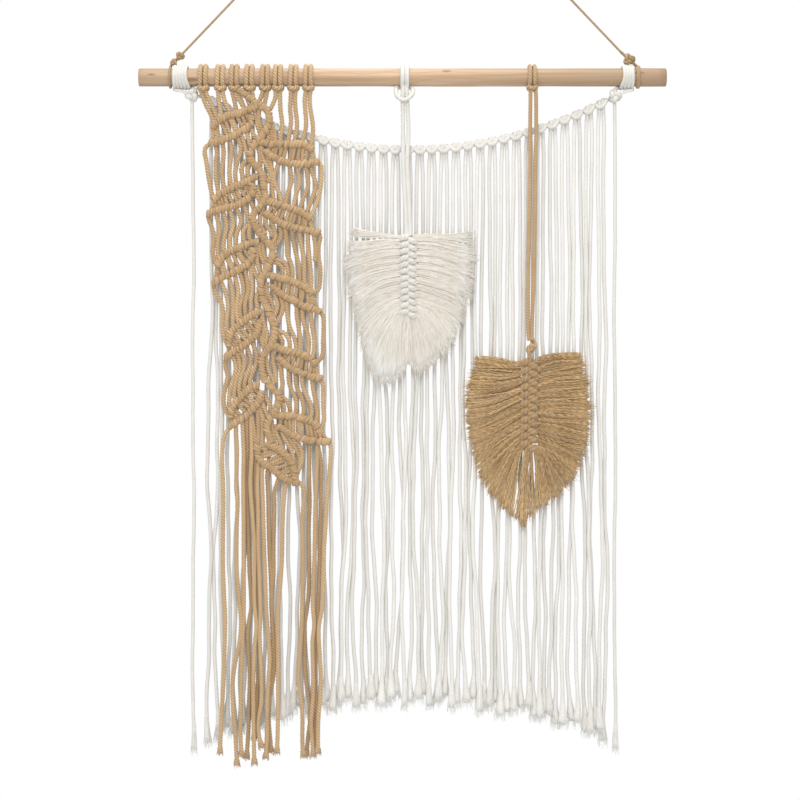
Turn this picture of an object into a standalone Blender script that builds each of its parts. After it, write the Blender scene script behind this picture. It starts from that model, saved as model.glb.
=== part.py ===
"""A macrame wall hanging on a wooden rod.

The origin is the underside of the hanger cord's bight, where a hook carries it.
+X is to the right, +Y is away from the viewer and +Z is up. A drop is a distance
straight down from the rod's axis. Tables are in millimetres, and MM turns them
into the metres that the model is built in.
"""

import math

import bmesh
import bpy
import numpy as np

MM = 0.001
WELD = 0.00001                 # points of a piece closer than this are one point
FINE_WELD = 0.000001           # the same after pieces are united
SEAT_GAP = 0.3                 # mm left between pieces that touch
FOOT_GAP = 0.6                 # the same above a feather, whose top locks rise a little

# Driving sizes, in millimetres
ROD_DROP = 290.0               # from the hook down to the rod's axis
ROD_LENGTH = 600.0
ROD_RADIUS = 10.0
ROD_SIDES = 20
ROD_EDGE = 1.5
TAN_RADIUS = 2.5               # 5 mm twisted cotton cord
WHITE_RADIUS = 2.0             # 4 mm twisted cotton cord
TWINE_RADIUS = 1.5             # 3 mm hanger twine

# Turns of cord round the rod, and the bight that crosses in front of them
TURN_STEPS = 10
TURN_INNER = 10.85             # clears the rod at the middle of each flat as well
TAN_TURN_OUTER = 15.2
TAN_TURN_PITCH = 5.3
WHITE_TURN_OUTER = 14.6
WHITE_TURN_PITCH = 5.0
TWINE_TURN_OUTER = 13.6
TURN_BOTTOM = 14.5             # drop at which a strand leaves the turns
BIGHT_ANGLE = 64.0             # degrees below level, seen along the rod
TUCK_ANGLE = 80.0              # the same where its ends go up behind the turns

# Depths of the layers, measured from the rod's axis towards the wall
PANEL_DEPTH = -9.0
FRINGE_DEPTH = {"front": -11.6, "back": -5.9}
CARRIER_DEPTH = 4.6
CURTAIN_DEPTH = (2.2, 7.0)
FEATHER_DEPTH = -9.5

# Leaf panel
HEADS_X = (-226.5, -207.0, -191.0, -174.0, -156.0, -141.5, -124.0, -107.0)
BAR_CREST = 5.3
BAR_VALLEY = 4.3
BAR_PITCH = 10.0
WEB_HALF = 1.6
STEM = (
    # x_mm, drop_mm
    (-184.0, 15.0), (-165.5, 28.0), (-151.0, 41.0), (-149.5, 55.0), (-160.0, 69.5),
    (-171.5, 82.5), (-173.5, 95.0), (-165.5, 108.5), (-155.5, 123.5), (-154.5, 137.0),
    (-165.5, 152.5), (-170.0, 167.0), (-167.0, 180.5), (-155.5, 192.0), (-145.5, 204.5),
    (-151.0, 221.5), (-159.5, 234.0), (-160.5, 249.0), (-154.5, 264.5), (-143.5, 280.5),
    (-145.0, 299.0), (-156.5, 315.0), (-158.5, 329.5), (-152.0, 348.0), (-140.5, 361.5),
    (-143.0, 377.5), (-151.0, 394.5), (-153.0, 411.5),
)
LEAVES = {
    # name: the upper bar and the lower bar, each from the stem out to the tip as x_mm, drop_mm
    "left_1": (
        ((-169.5, 35.5), (-192.0, 47.0), (-216.0, 59.5)),
        ((-171.5, 51.5), (-192.0, 70.5), (-222.5, 77.0)),
    ),
    "left_2": (
        ((-161.5, 117.0), (-188.5, 129.0), (-214.5, 141.0)),
        ((-169.5, 130.0), (-182.5, 142.5), (-198.5, 149.0), (-221.0, 155.5)),
    ),
    "left_3": (
        ((-164.5, 187.5), (-179.0, 193.5), (-194.5, 202.5), (-211.5, 218.0)),
        ((-170.0, 196.5), (-174.5, 209.0), (-185.5, 220.5), (-214.0, 237.5)),
    ),
    "left_4": (
        ((-156.5, 268.0), (-174.5, 275.5), (-188.0, 285.5), (-198.5, 304.5)),
        ((-159.5, 277.5), (-164.5, 289.5), (-174.5, 302.0), (-201.5, 320.0)),
    ),
    "left_5": (
        ((-155.5, 348.5), (-172.0, 357.5), (-185.5, 371.0), (-193.5, 389.0)),
        ((-159.5, 358.5), (-163.0, 368.5), (-176.0, 386.5), (-198.0, 400.0)),
    ),
    "right_1": (
        ((-158.5, 72.5), (-138.0, 77.0), (-118.5, 78.5), (-102.5, 86.0)),
        ((-157.0, 83.5), (-141.0, 94.5), (-121.5, 99.5), (-91.5, 96.0)),
    ),
    "right_2": (
        ((-155.5, 146.0), (-134.5, 146.0), (-118.5, 150.5), (-101.0, 160.0)),
        ((-152.0, 156.5), (-141.0, 165.0), (-121.5, 173.0), (-94.5, 178.5)),
    ),
    "right_3": (
        ((-148.5, 226.0), (-135.0, 228.5), (-118.0, 235.0), (-98.0, 249.5)),
        ((-146.5, 236.0), (-137.5, 246.5), (-124.0, 256.5), (-93.5, 267.5)),
    ),
    "right_4": (
        ((-145.0, 305.5), (-129.5, 309.0), (-112.5, 315.5), (-97.0, 327.0)),
        ((-144.0, 316.5), (-129.5, 330.5), (-113.5, 338.5), (-90.0, 345.0)),
    ),
    "right_5": (
        ((-145.0, 385.5), (-129.5, 386.0), (-112.5, 389.0), (-91.0, 401.0)),
        ((-143.0, 395.5), (-129.5, 404.5), (-112.0, 414.5), (-82.0, 416.0)),
    ),
    "bottom": (
        ((-148.5, 414.5), (-134.5, 426.5), (-124.0, 439.0), (-120.5, 453.5)),
        ((-163.5, 419.5), (-159.0, 433.0), (-144.0, 444.5), (-113.0, 463.0)),
    ),
}
LEAF_PAIRS = 5
STRANDS_BETWEEN = (
    # share of the way out along the bar above, the same below, bulge in mm
    (0.22, 0.20, 0.6),
    (0.38, 0.37, 1.0),
    (0.54, 0.53, 1.4),
    (0.70, 0.69, 1.6),
    (0.85, 0.84, 1.8),
    (0.95, 0.95, 4.6),
)
TOP_STRANDS = (
    # head, offset in mm, leaf, share of the way out along its upper bar
    (0, -2.4, "left_1", 0.97),
    (0, 2.6, "left_1", 0.84),
    (1, -2.4, "left_1", 0.66),
    (1, 2.6, "left_1", 0.50),
    (2, -2.6, "left_1", 0.32),
    (5, 1.6, "right_1", 0.38),
    (6, -2.4, "right_1", 0.56),
    (6, 2.6, "right_1", 0.70),
    (7, -2.4, "right_1", 0.83),
    (7, 2.6, "right_1", 0.97),
)
STEM_FEEDS = (
    # head, offset in mm, the point of the stem that it joins as x_mm, drop_mm
    (2, 1.6, -182.0, 17.0),
    (3, -2.0, -167.0, 27.5),
    (4, -2.4, -159.0, 33.0),
    (4, 2.6, -155.0, 36.0),
    (5, -2.4, -151.0, 42.0),
)
BOTTOM_STRANDS = (
    # share of the way out along right_5's lower bar, and along the bottom leaf's upper bar
    (0.20, 0.25),
    (0.36, 0.55),
    (0.50, 0.85),
)
FRINGE = (
    # x_mm, drop_mm at the root; x_mm, drop_mm where it has settled; x_mm, drop_mm at its end
    ("front", -192.5, 396.5, -204.5, 458.0, -207.0, 770.0),
    ("front", -189.5, 394.5, -187.5, 458.0, -187.5, 783.0),
    ("front", -182.0, 389.0, -180.0, 458.0, -180.0, 776.0),
    ("front", -173.5, 381.0, -172.0, 481.0, -173.0, 773.5),
    ("back", -169.0, 374.0, -167.0, 481.0, -167.5, 781.5),
    ("front", -160.5, 431.0, -162.0, 481.0, -161.5, 765.5),
    ("back", -155.0, 436.5, -156.0, 481.0, -157.5, 776.0),
    ("front", -149.0, 441.5, -150.5, 492.5, -152.5, 769.0),
    ("back", -143.0, 445.5, -144.5, 504.0, -147.0, 765.5),
    ("front", -134.5, 450.0, -138.0, 515.0, -142.0, 770.0),
    ("front", -119.5, 459.0, -110.5, 492.5, -111.5, 774.5),
    ("back", -113.5, 414.0, -106.0, 481.0, -105.5, 771.5),
    ("front", -99.5, 416.0, -97.5, 481.0, -96.5, 769.0),
    ("front", -91.0, 415.5, -86.0, 504.0, -89.0, 767.0),
    ("back", -180.0, 389.0, -176.5, 481.0, -178.0, 768.0),
    ("back", -187.5, 394.0, -183.5, 481.0, -185.5, 763.5),
)

# White curtain: a sagging carrier cord, lashed to the rod, with a row of lark's heads
CURTAIN_HEADS = 33
CURTAIN_FIRST_X = -214.6
CURTAIN_PITCH = 13.78
SAG_DROP = 82.0
SAG_CENTRE_X = 8.5
SAG_BEND = 0.0011085           # mm of rise for each square mm away from the lowest point
HEAD_CREST = 4.9
HEAD_WAIST = 3.9
HEAD_HALF = 2.9                # from a head's middle out to its crests
HEAD_NECK = 2.3
CARRIER_START = (
    # x_mm, drop_mm, depth_mm, radius_mm: inside the lashing, its knot, the first neck
    (-247.0, 13.0, 1.0, 2.0),
    (-239.6, 20.5, 3.2, 6.0),
    (-223.1, 25.0, 4.4, 2.3),
)
CARRIER_STOP = (
    # the same from the last neck to the other lashing
    (233.9, 27.5, 4.4, 2.3),
    (241.6, 21.5, 3.2, 6.0),
    (251.0, 13.0, 1.0, 2.0),
)
STRAND_CORNER = 2.3            # a three-sided strand of the same room as a 4 mm round one
STRAND_SPREAD = 2.4
STRAND_PARTING = 1.1           # mm further that twins lie apart halfway down
STRAND_SWAY = 1.9
STRAND_SWAYS = 0.9             # swings to and fro from its head to its end
STRAND_STEPS = 4
ARCH_DROP = 709.0
ARCH_RISE = 46.0
ARCH_HALF_WIDTH = 226.0
ARCH_UNEVEN = 6.0
LASHINGS = (
    # x_mm where the turns start and stop, number of turns
    (-262.3, -242.0, 5),
    (247.6, 264.4, 4),
)
LASHING_TAILS = (
    # x_mm, drop_mm of the knot that the tail leaves, drop_mm of its end
    (-239.6, 20.5, 766.0),
    (241.6, 21.5, 765.0),
)
TAIL_SHARES = (0.0, 0.3, 0.65, 1.0)

# Hanger cord
HANGER_TURNS = (
    # x_mm where the turns start and stop, number of turns
    (-266.0, -262.7, 1),
    (264.8, 271.0, 2),
)
HANGER_KNOTS = (
    # the knot's outer end, its inner end, as x_mm, drop_mm
    (-263.0, -18.2, -250.0, -27.6),
    (266.0, -18.0, 251.5, -27.2),
)
HANGER_KNOT_RADII = (2.2, 4.3, 3.4, 4.4, 3.2, 1.8)
HANGER_ROOT = 12.2             # height above the rod's axis at which a leg leaves its turns
HANGER_RISE = 15.0
HOOK_HALF = 2.6                # from the hook's middle out to where the bight falls away
HOOK_FALL = 2.2

# Feathers
FEATHERS = {
    # name: spine as x_mm, drop_mm at its top and bottom; left and right outlines from the
    # top corner round to the middle of the lower edge, as x_mm, drop_mm
    "white_feather": (
        ((7.0, 180.0), (7.0, 274.0)),
        ((-57.5, 170.5), (-66.5, 219.0), (-54.5, 274.0), (-37.5, 333.0), (-24.5, 350.0),
         (-5.0, 341.0), (5.5, 322.0)),
        ((80.0, 176.0), (81.5, 209.0), (77.5, 248.0), (54.0, 307.0), (19.5, 335.5),
         (8.5, 322.0)),
    ),
    "tan_feather": (
        ((144.5, 320.5), (143.5, 425.0)),
        ((83.0, 316.5), (72.0, 357.0), (72.0, 400.0), (89.0, 457.0), (113.5, 492.0),
         (135.5, 513.0)),
        ((203.0, 312.5), (213.5, 360.0), (211.0, 415.0), (190.5, 463.0), (161.5, 487.5),
         (138.5, 513.0)),
    ),
}
LOCKS_A_SIDE = 16
LOCK_GAP = 0.08                # share of each lock's room left open at its root
LOCK_POINT = 0.24              # further share left open at its tip
LOCK_SHARES = (0.0, 0.5, 1.0)  # where along a lock its sections stand
LOCK_HALF_DEPTHS = (2.4, 3.6, 1.2)
LOCK_ROOT = 1.6                # from the middle of the spine out to a lock's root
LOCK_BEND = (0.62, 0.30)       # the curve's middle point, as shares of the way out and down
LOCK_SHORT = 0.05              # the most that a lock falls short of the outline, as a share
LOCK_SHIFT = 0.9               # the most that a lock lies in front of its neighbours, or behind
SPINE_CREST = 6.4
SPINE_VALLEY = 5.0
SPINE_PITCH = 7.8

# Cords of the feathers, each hung on the rod by a lark's head
WHITE_HEAD_X = 2.6
WHITE_LEG_SPREAD = 2.15
WHITE_SLACK = (
    # x_mm from the head, drop_mm, depth_mm of the loose bight that crosses in front
    (-6.6, 9.5, -8.6),
    (-6.4, 17.0, -10.6),
    (-1.5, 24.5, -12.6),
    (4.0, 25.0, -12.6),
    (9.0, 20.5, -11.0),
    (9.8, 11.0, -8.8),
)
SLACK_STEPS = 8
TAN_HEAD_X = 147.5
TAN_LAY_RADIUS = 2.4           # from the middle of the pair out to each leg
TAN_LAY_TURNS = 0.75
TAN_LAY_STEPS = 9
TAN_LEG_RADIUS = 2.3
OVERHAND = (
    # x_mm from the spine, drop_mm from the top of the spine, radius_mm
    (1.5, -19.5, 3.2),
    (2.5, -15.5, 6.2),
    (-0.5, -12.0, 5.0),
    (-1.5, -8.0, 6.4),
    (0.0, -FOOT_GAP, 3.4),
)

# Colours (linear) and roughness, by material
FINISHES = {
    "pine": ((0.70, 0.50, 0.31), 0.55),
    "tan_cord": ((0.50, 0.34, 0.18), 0.85),
    "white_cord": ((0.80, 0.78, 0.74), 0.88),
    "twine": ((0.48, 0.33, 0.17), 0.85),
    "cream_yarn": ((0.76, 0.72, 0.66), 0.92),
    "golden_yarn": ((0.52, 0.33, 0.15), 0.92),
}


def clear_scene():
    for item in list(bpy.data.objects):
        bpy.data.objects.remove(item)


def make_material(name):
    colour, roughness = FINISHES[name]
    material = bpy.data.materials.new(name)
    material.use_nodes = True
    shader = material.node_tree.nodes["Principled BSDF"]
    shader.inputs["Base Color"].default_value = (*colour, 1.0)
    shader.inputs["Roughness"].default_value = roughness
    shader.inputs["Metallic"].default_value = 0.0
    return material


def spot(x, drop, depth):
    """Return the place in metres of a point given by its x, its drop below the rod and its depth."""
    return (x * MM, depth * MM, -(ROD_DROP + drop) * MM)


def smooth_path(points, count):
    """Return count points, evenly spaced, on a Catmull-Rom curve through the given points."""
    knots = np.array(points, dtype=float)
    first = 2 * knots[0] - knots[1]
    last = 2 * knots[-1] - knots[-2]
    knots = np.vstack([first, knots, last])
    t = np.linspace(0.0, 1.0, 16, endpoint=False)[:, None]
    runs = []
    for before, start, stop, after in zip(knots, knots[1:], knots[2:], knots[3:]):
        bend = 2 * before - 5 * start + 4 * stop - after
        twist = 3 * start - before - 3 * stop + after
        runs.append(0.5 * (2 * start + (stop - before) * t + bend * t**2 + twist * t**3))
    fine = np.vstack(runs + [knots[-2:-1]])
    lengths = np.linalg.norm(np.diff(fine, axis=0), axis=1)
    along = np.concatenate([[0.0], np.cumsum(lengths)])
    wanted = np.linspace(0.0, along[-1], count)
    return np.column_stack([np.interp(wanted, along, column) for column in fine.T])


def path_length(points):
    fine = smooth_path(points, 40)
    return float(np.linalg.norm(np.diff(fine, axis=0), axis=1).sum())


def uneven(index, step=0.6180339887):
    """Return a fixed number from -1 to 1 that looks unordered from one index to the next."""
    return 2.0 * ((index + 1) * step % 1.0) - 1.0


def as_mesh(source, weld=WELD):
    """Turn a curve or a modified object into a welded mesh object, and remove the source."""
    bpy.context.view_layer.update()
    evaluated = source.evaluated_get(bpy.context.evaluated_depsgraph_get())
    mesh = bpy.data.meshes.new_from_object(evaluated)
    shape = bmesh.new()
    shape.from_mesh(mesh)
    bmesh.ops.remove_doubles(shape, verts=shape.verts, dist=weld)
    bmesh.ops.recalc_face_normals(shape, faces=shape.faces)
    shape.to_mesh(mesh)
    shape.free()
    mesh.materials.clear()
    piece = bpy.data.objects.new("piece", mesh)
    piece.matrix_world = source.matrix_world
    bpy.context.scene.collection.objects.link(piece)
    bpy.data.objects.remove(source)
    return piece


def triangle_section():
    """A guide curve: the three-sided section that a plain strand is swept with."""
    curve = bpy.data.curves.new("strand_section", "CURVE")
    spline = curve.splines.new("POLY")
    spline.points.add(2)
    spline.use_cyclic_u = True
    for index, corner in enumerate(spline.points):
        turn = math.tau * index / 3
        corner.co = (MM * math.cos(turn), MM * math.sin(turn), 0.0, 1.0)
    guide = bpy.data.objects.new("strand_section", curve)
    guide.hide_render = True
    guide.display_type = "WIRE"
    bpy.context.scene.collection.objects.link(guide)
    return guide


def cord(points, radii, sides=3):
    """A cord: a poly curve with a bevel of 3, 4, 6 or 8 sides, as thick as radii say in mm."""
    curve = bpy.data.curves.new("cord", "CURVE")
    curve.dimensions = "3D"
    curve.use_fill_caps = True
    if sides == 3:
        curve.bevel_mode = "OBJECT"
        curve.bevel_object = bpy.data.objects["strand_section"]
    else:
        curve.bevel_depth = MM
        curve.bevel_resolution = (sides - 4) // 2
    spline = curve.splines.new("POLY")
    spline.points.add(len(points) - 1)
    for knot, place, radius in zip(spline.points, points, radii):
        knot.co = (*place, 1.0)
        knot.radius = radius
    source = bpy.data.objects.new("cord", curve)
    bpy.context.scene.collection.objects.link(source)
    return as_mesh(source)


def ridged_cord(route, depth, crest, valley, pitch, sides=6):
    """A bar of hitches: a cord whose thickness swells to a crest once each pitch."""
    ridges = max(2, round(path_length(route) / pitch))
    count = 2 * ridges + 1
    places = [spot(x, drop, depth) for x, drop in smooth_path(route, count)]
    radii = [crest if index % 2 else valley for index in range(count)]
    return cord(places, radii, sides)


def turns_on_rod(start, stop, turns, outer):
    """Turns of cord side by side round the rod, as a ridged sleeve turned about the rod's axis."""
    pitch = (stop - start) / turns
    valley = 0.55 * outer + 0.45 * TURN_INNER
    profile = [(TURN_INNER, start)]
    for turn in range(turns):
        profile.append((outer, start + (turn + 0.5) * pitch))
        profile.append((valley, start + (turn + 1) * pitch))
    profile[-1] = (TURN_INNER, stop)
    corners = [(radius * MM, 0.0, along * MM) for radius, along in profile]
    rims = [(index, (index + 1) % len(corners)) for index in range(len(corners))]
    mesh = bpy.data.meshes.new("turns")
    mesh.from_pydata(corners, rims, [])
    source = bpy.data.objects.new("turns", mesh)
    source.rotation_euler = (0.0, math.pi / 2, 0.0)
    source.location = (0.0, 0.0, -ROD_DROP * MM)
    bpy.context.scene.collection.objects.link(source)
    screw = source.modifiers.new("turn", "SCREW")
    screw.axis = "Z"
    screw.angle = math.tau
    screw.steps = TURN_STEPS
    screw.render_steps = TURN_STEPS
    screw.use_merge_vertices = True
    screw.merge_threshold = WELD
    return as_mesh(source)


def bight_on_rod(x, half_width, radius, outer):
    """The bight that crosses below the turns of a lark's head, its ends tucked up behind them."""
    tucked = ROD_RADIUS + 2 * SEAT_GAP + radius
    proud = outer + 0.35 * radius
    route = (
        (-half_width, TUCK_ANGLE, tucked),
        (-0.62 * half_width, BIGHT_ANGLE, proud),
        (0.62 * half_width, BIGHT_ANGLE, proud),
        (half_width, TUCK_ANGLE, tucked),
    )
    places = []
    for offset, angle, reach in route:
        down = reach * math.sin(math.radians(angle))
        forward = reach * math.cos(math.radians(angle))
        places.append(spot(x + offset, down, -forward))
    return cord(places, [0.8 * radius, radius, radius, 0.8 * radius], 4)


def loft(rings):
    """A closed body skinned over rings of points, each ring a section of the same count."""
    count = len(rings[0])
    corners = [corner for ring in rings for corner in ring]
    faces = [tuple(range(count)), tuple(reversed(range(len(corners) - count, len(corners))))]
    for low in range(0, len(corners) - count, count):
        for side in range(count):
            other = (side + 1) % count
            faces.append((low + other, low + side, low + count + side, low + count + other))
    mesh = bpy.data.meshes.new("loft")
    mesh.from_pydata(corners, [], faces)
    source = bpy.data.objects.new("loft", mesh)
    bpy.context.scene.collection.objects.link(source)
    return as_mesh(source)


def rise_of(route, centre, ahead, up):
    """Return how far up from the centre a route crosses the section that looks ahead."""
    fine = smooth_path(route, 101) - centre
    return float((fine @ up)[np.argmin(np.abs(fine @ ahead))])


def leaf(name):
    """A leaf: two ridged bars of hitches with a thin web of short strands between them.

    Its sections stand square to the line midway between the bars. Each is a figure of
    eight that is thick at the bars and thin at the web.
    """
    upper, lower = LEAVES[name]
    ridges = round(0.5 * (path_length(upper) + path_length(lower)) / BAR_PITCH)
    count = 2 * ridges + 1
    midline = 0.5 * (smooth_path(upper, count) + smooth_path(lower, count))
    heading = np.gradient(midline, axis=0)
    heading /= np.linalg.norm(heading, axis=1)[:, None]
    turn = 1.0 if upper[-1][0] > upper[0][0] else -1.0
    rings = []
    for index, (centre, ahead) in enumerate(zip(midline, heading)):
        radius = BAR_CREST if index % 2 else BAR_VALLEY
        up = turn * np.array((ahead[1], -ahead[0]))
        high = rise_of(upper, centre, ahead, up)
        low = rise_of(lower, centre, ahead, up)
        section = (
            (high + radius, 0.0),
            (high, -radius),
            (0.5 * (high + low), -WEB_HALF),
            (low, -radius),
            (low - radius, 0.0),
            (low, radius),
            (0.5 * (high + low), WEB_HALF),
            (high, radius),
        )
        ring = []
        for across, depth in section:
            x, drop = centre + up * across
            ring.append(spot(x, drop, PANEL_DEPTH + depth))
        rings.append(ring)
    return loft(rings)


def along(route, share):
    """Return the point that lies a share of the way along a smooth route."""
    fine = smooth_path(route, 101)
    return fine[round(100 * share)]


def bowed_strand(start, stop, bulge, depth, radius):
    """A short strand between two bars, bowed sideways at its middle."""
    middle = 0.5 * (start + stop) + np.array((bulge, 0.0))
    places = [spot(x, drop, depth) for x, drop in (start, middle, stop)]
    return cord(places, [radius] * 3)


def build_rod():
    bpy.ops.mesh.primitive_cylinder_add(
        vertices=ROD_SIDES,
        radius=ROD_RADIUS * MM,
        depth=ROD_LENGTH * MM,
        location=(0.0, 0.0, -ROD_DROP * MM),
        rotation=(0.0, math.pi / 2, 0.0),
    )
    source = bpy.context.object
    bevel = source.modifiers.new("worn_end", "BEVEL")
    bevel.width = ROD_EDGE * MM
    bevel.segments = 1
    bevel.limit_method = "ANGLE"
    bevel.angle_limit = math.radians(60)
    return [as_mesh(source)]


def build_leaf_panel():
    pieces = [ridged_cord(STEM, PANEL_DEPTH, BAR_CREST, BAR_VALLEY, BAR_PITCH)]
    pieces += [leaf(name) for name in LEAVES]
    for x in HEADS_X:
        pieces.append(turns_on_rod(x - TAN_TURN_PITCH, x + TAN_TURN_PITCH, 2, TAN_TURN_OUTER))
        pieces.append(bight_on_rod(x, 6.6, TAN_RADIUS, TAN_TURN_OUTER))
    for head, offset, name, share in TOP_STRANDS:
        start = np.array((HEADS_X[head] + offset, TURN_BOTTOM))
        stop = along(LEAVES[name][0], share)
        pieces.append(bowed_strand(start, stop, 0.0, PANEL_DEPTH, TAN_RADIUS))
    for head, offset, x, drop in STEM_FEEDS:
        start = np.array((HEADS_X[head] + offset, TURN_BOTTOM))
        stop = np.array((x, drop))
        pieces.append(bowed_strand(start, stop, 0.0, PANEL_DEPTH, TAN_RADIUS))
    for side, outward in (("left", -1.0), ("right", 1.0)):
        for number in range(1, LEAF_PAIRS):
            above = LEAVES[f"{side}_{number}"][1]
            below = LEAVES[f"{side}_{number + 1}"][0]
            for share_above, share_below, bulge in STRANDS_BETWEEN:
                start = along(above, share_above)
                stop = along(below, share_below)
                pieces.append(bowed_strand(start, stop, outward * bulge, PANEL_DEPTH, TAN_RADIUS))
    for share_above, share_below in BOTTOM_STRANDS:
        start = along(LEAVES["right_5"][1], share_above)
        stop = along(LEAVES["bottom"][0], share_below)
        pieces.append(bowed_strand(start, stop, 0.0, PANEL_DEPTH, TAN_RADIUS))
    for layer, *numbers in FRINGE:
        root, settled, end = np.array(numbers).reshape(3, 2)
        route = (root, 0.3 * root + 0.7 * settled, 0.65 * settled + 0.35 * end, end)
        depths = [PANEL_DEPTH] + [FRINGE_DEPTH[layer]] * 3
        places = [spot(x, drop, depth) for (x, drop), depth in zip(route, depths)]
        pieces.append(cord(places, [TAN_RADIUS] * 4, 4))
    return pieces


def carrier_drop(x):
    """Return the drop of the sagging carrier cord at x: a parabola through its lowest point."""
    return SAG_DROP - SAG_BEND * (x - SAG_CENTRE_X) ** 2


def build_curtain():
    heads = [CURTAIN_FIRST_X + CURTAIN_PITCH * index for index in range(CURTAIN_HEADS)]
    route = list(CARRIER_START)
    for x in heads:
        for offset, radius in ((-HEAD_HALF, HEAD_CREST), (0.0, HEAD_WAIST), (HEAD_HALF, HEAD_CREST)):
            route.append((x + offset, carrier_drop(x + offset), CARRIER_DEPTH, radius))
        if x != heads[-1]:
            neck = x + 0.5 * CURTAIN_PITCH
            route.append((neck, carrier_drop(neck), CARRIER_DEPTH, HEAD_NECK))
    route += CARRIER_STOP
    places = [spot(x, drop, depth) for x, drop, depth, _ in route]
    pieces = [cord(places, [radius for *_, radius in route], 4)]
    for start, stop, turns in LASHINGS:
        pieces.append(turns_on_rod(start, stop, turns, WHITE_TURN_OUTER))
    for index, x in enumerate(heads):
        for side, depth in zip((-1, 1), CURTAIN_DEPTH):
            pieces.append(curtain_strand(2 * index + (side > 0), x, side, depth))
    for x, drop, end in LASHING_TAILS:
        places = [spot(x, drop + share * (end - drop), CURTAIN_DEPTH[0]) for share in TAIL_SHARES]
        pieces.append(cord(places, [WHITE_RADIUS] * len(places), 4))
    return pieces


def curtain_strand(number, head_x, side, depth):
    """A hanging strand: it leaves its head beside its twin, parts from it a little and sways."""
    start = carrier_drop(head_x) + 1.0
    share_out = abs(head_x - SAG_CENTRE_X) / ARCH_HALF_WIDTH
    end = ARCH_DROP + ARCH_RISE * share_out**2 + ARCH_UNEVEN * uneven(number, 0.7548776662)
    places = []
    for step in range(STRAND_STEPS + 1):
        share = step / STRAND_STEPS
        apart = STRAND_SPREAD + STRAND_PARTING * math.sin(math.pi * share)
        swing = math.tau * (STRAND_SWAYS * share + uneven(number // 2))
        x = head_x + side * apart + STRAND_SWAY * share * math.sin(swing)
        places.append(spot(x, start + share * (end - start), depth))
    return cord(places, [STRAND_CORNER] * len(places))


def build_hanger():
    left, right = HANGER_KNOTS
    top = ROD_DROP
    route = (
        (left[2], left[3]),
        (0.5 * left[2], 0.5 * (left[3] - top)),
        (-HOOK_HALF, HOOK_FALL - top),
        (0.0, -top - TWINE_RADIUS),
        (HOOK_HALF, HOOK_FALL - top),
        (0.5 * right[2], 0.5 * (right[3] - top)),
        (right[2], right[3]),
    )
    places = [spot(x, drop, 0.0) for x, drop in route]
    pieces = [cord(places, [TWINE_RADIUS] * len(places), 8)]
    for (start, stop, turns), (outer_x, outer_drop, *inner) in zip(HANGER_TURNS, HANGER_KNOTS):
        pieces.append(turns_on_rod(start, stop, turns, TWINE_TURN_OUTER))
        outer = np.array((outer_x, outer_drop))
        shares = np.linspace(0.0, 1.0, len(HANGER_KNOT_RADII))
        places = [spot(*(outer + share * (inner - outer)), 0.0) for share in shares]
        pieces.append(cord(places, HANGER_KNOT_RADII, 6))
        middle = 0.5 * (start + stop)
        route = ((middle, -HANGER_ROOT), (middle, -HANGER_RISE), (outer_x, outer_drop - 0.4))
        places = [spot(x, drop, 0.0) for x, drop in route]
        pieces.append(cord(places, [TWINE_RADIUS] * len(places), 6))
    return pieces


def build_feather(name):
    """A feather: a ridged spine of square knots with brushed locks on both sides.

    A lock is the strip between two flow lines. Each line leaves the spine level and
    bends down to its point on the outline, as a quadratic curve of its share down the side.
    """
    spine, *outlines = FEATHERS[name]
    pieces = [ridged_cord(spine, FEATHER_DEPTH, SPINE_CREST, SPINE_VALLEY, SPINE_PITCH)]
    for outline, side in zip(outlines, (-1.0, 1.0)):
        tips = smooth_path(outline, 201)
        for number in range(LOCKS_A_SIDE):
            pieces.append(feather_lock(spine, tips, side, number))
    return pieces


def feather_lock(spine, tips, side, number):
    """One lock: a loft of three four-sided sections between its upper and lower flow lines."""
    top, bottom = np.array(spine)
    middle = (number + 0.5) / LOCKS_A_SIDE
    shift = LOCK_SHIFT * uneven(number + 7 * (side > 0))
    reach = 1.0 - LOCK_SHORT * (0.5 + 0.5 * uneven(number, 0.7548776662))
    rings = []
    for share, half_depth in zip(LOCK_SHARES, LOCK_HALF_DEPTHS):
        open_share = LOCK_GAP + LOCK_POINT * share**2
        half = 0.5 * (1.0 - open_share) / LOCKS_A_SIDE
        edges = []
        for down in (middle - half, middle + half):
            root = top + down * (bottom - top) + np.array((LOCK_ROOT * side, 0.0))
            tip = tips[round(200 * down)]
            bend = root + np.array(LOCK_BEND) * (tip - root)
            s = share * reach
            edges.append((1 - s) ** 2 * root + 2 * s * (1 - s) * bend + s**2 * tip)
        near = FEATHER_DEPTH + shift - half_depth
        far = FEATHER_DEPTH + shift + half_depth
        upper, lower = edges
        rings.append([spot(*upper, near), spot(*lower, near), spot(*lower, far), spot(*upper, far)])
    return loft(rings)


def build_white_feather_cord():
    """A cord folded in half over the rod: a loose lark's head and two legs down to the spine."""
    start, stop = WHITE_HEAD_X - WHITE_TURN_PITCH, WHITE_HEAD_X + WHITE_TURN_PITCH
    pieces = [turns_on_rod(start, stop, 2, WHITE_TURN_OUTER)]
    slack = smooth_path(WHITE_SLACK, SLACK_STEPS + 1)
    places = [spot(WHITE_HEAD_X + x, drop, depth) for x, drop, depth in slack]
    pieces.append(cord(places, [WHITE_RADIUS] * len(places), 6))
    foot_x, foot_drop = FEATHERS["white_feather"][0][0]
    for side in (-1, 1):
        top_x = WHITE_HEAD_X + side * 0.5 * WHITE_TURN_PITCH
        leg_x = foot_x + side * WHITE_LEG_SPREAD
        route = (
            (top_x, 9.0, -11.0),
            (top_x, 24.0, -10.2),
            (leg_x, 100.0, FEATHER_DEPTH),
            (leg_x, foot_drop - FOOT_GAP, FEATHER_DEPTH),
        )
        places = [spot(x, drop, depth) for x, drop, depth in route]
        pieces.append(cord(places, [WHITE_RADIUS] * len(places), 6))
    return pieces


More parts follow.
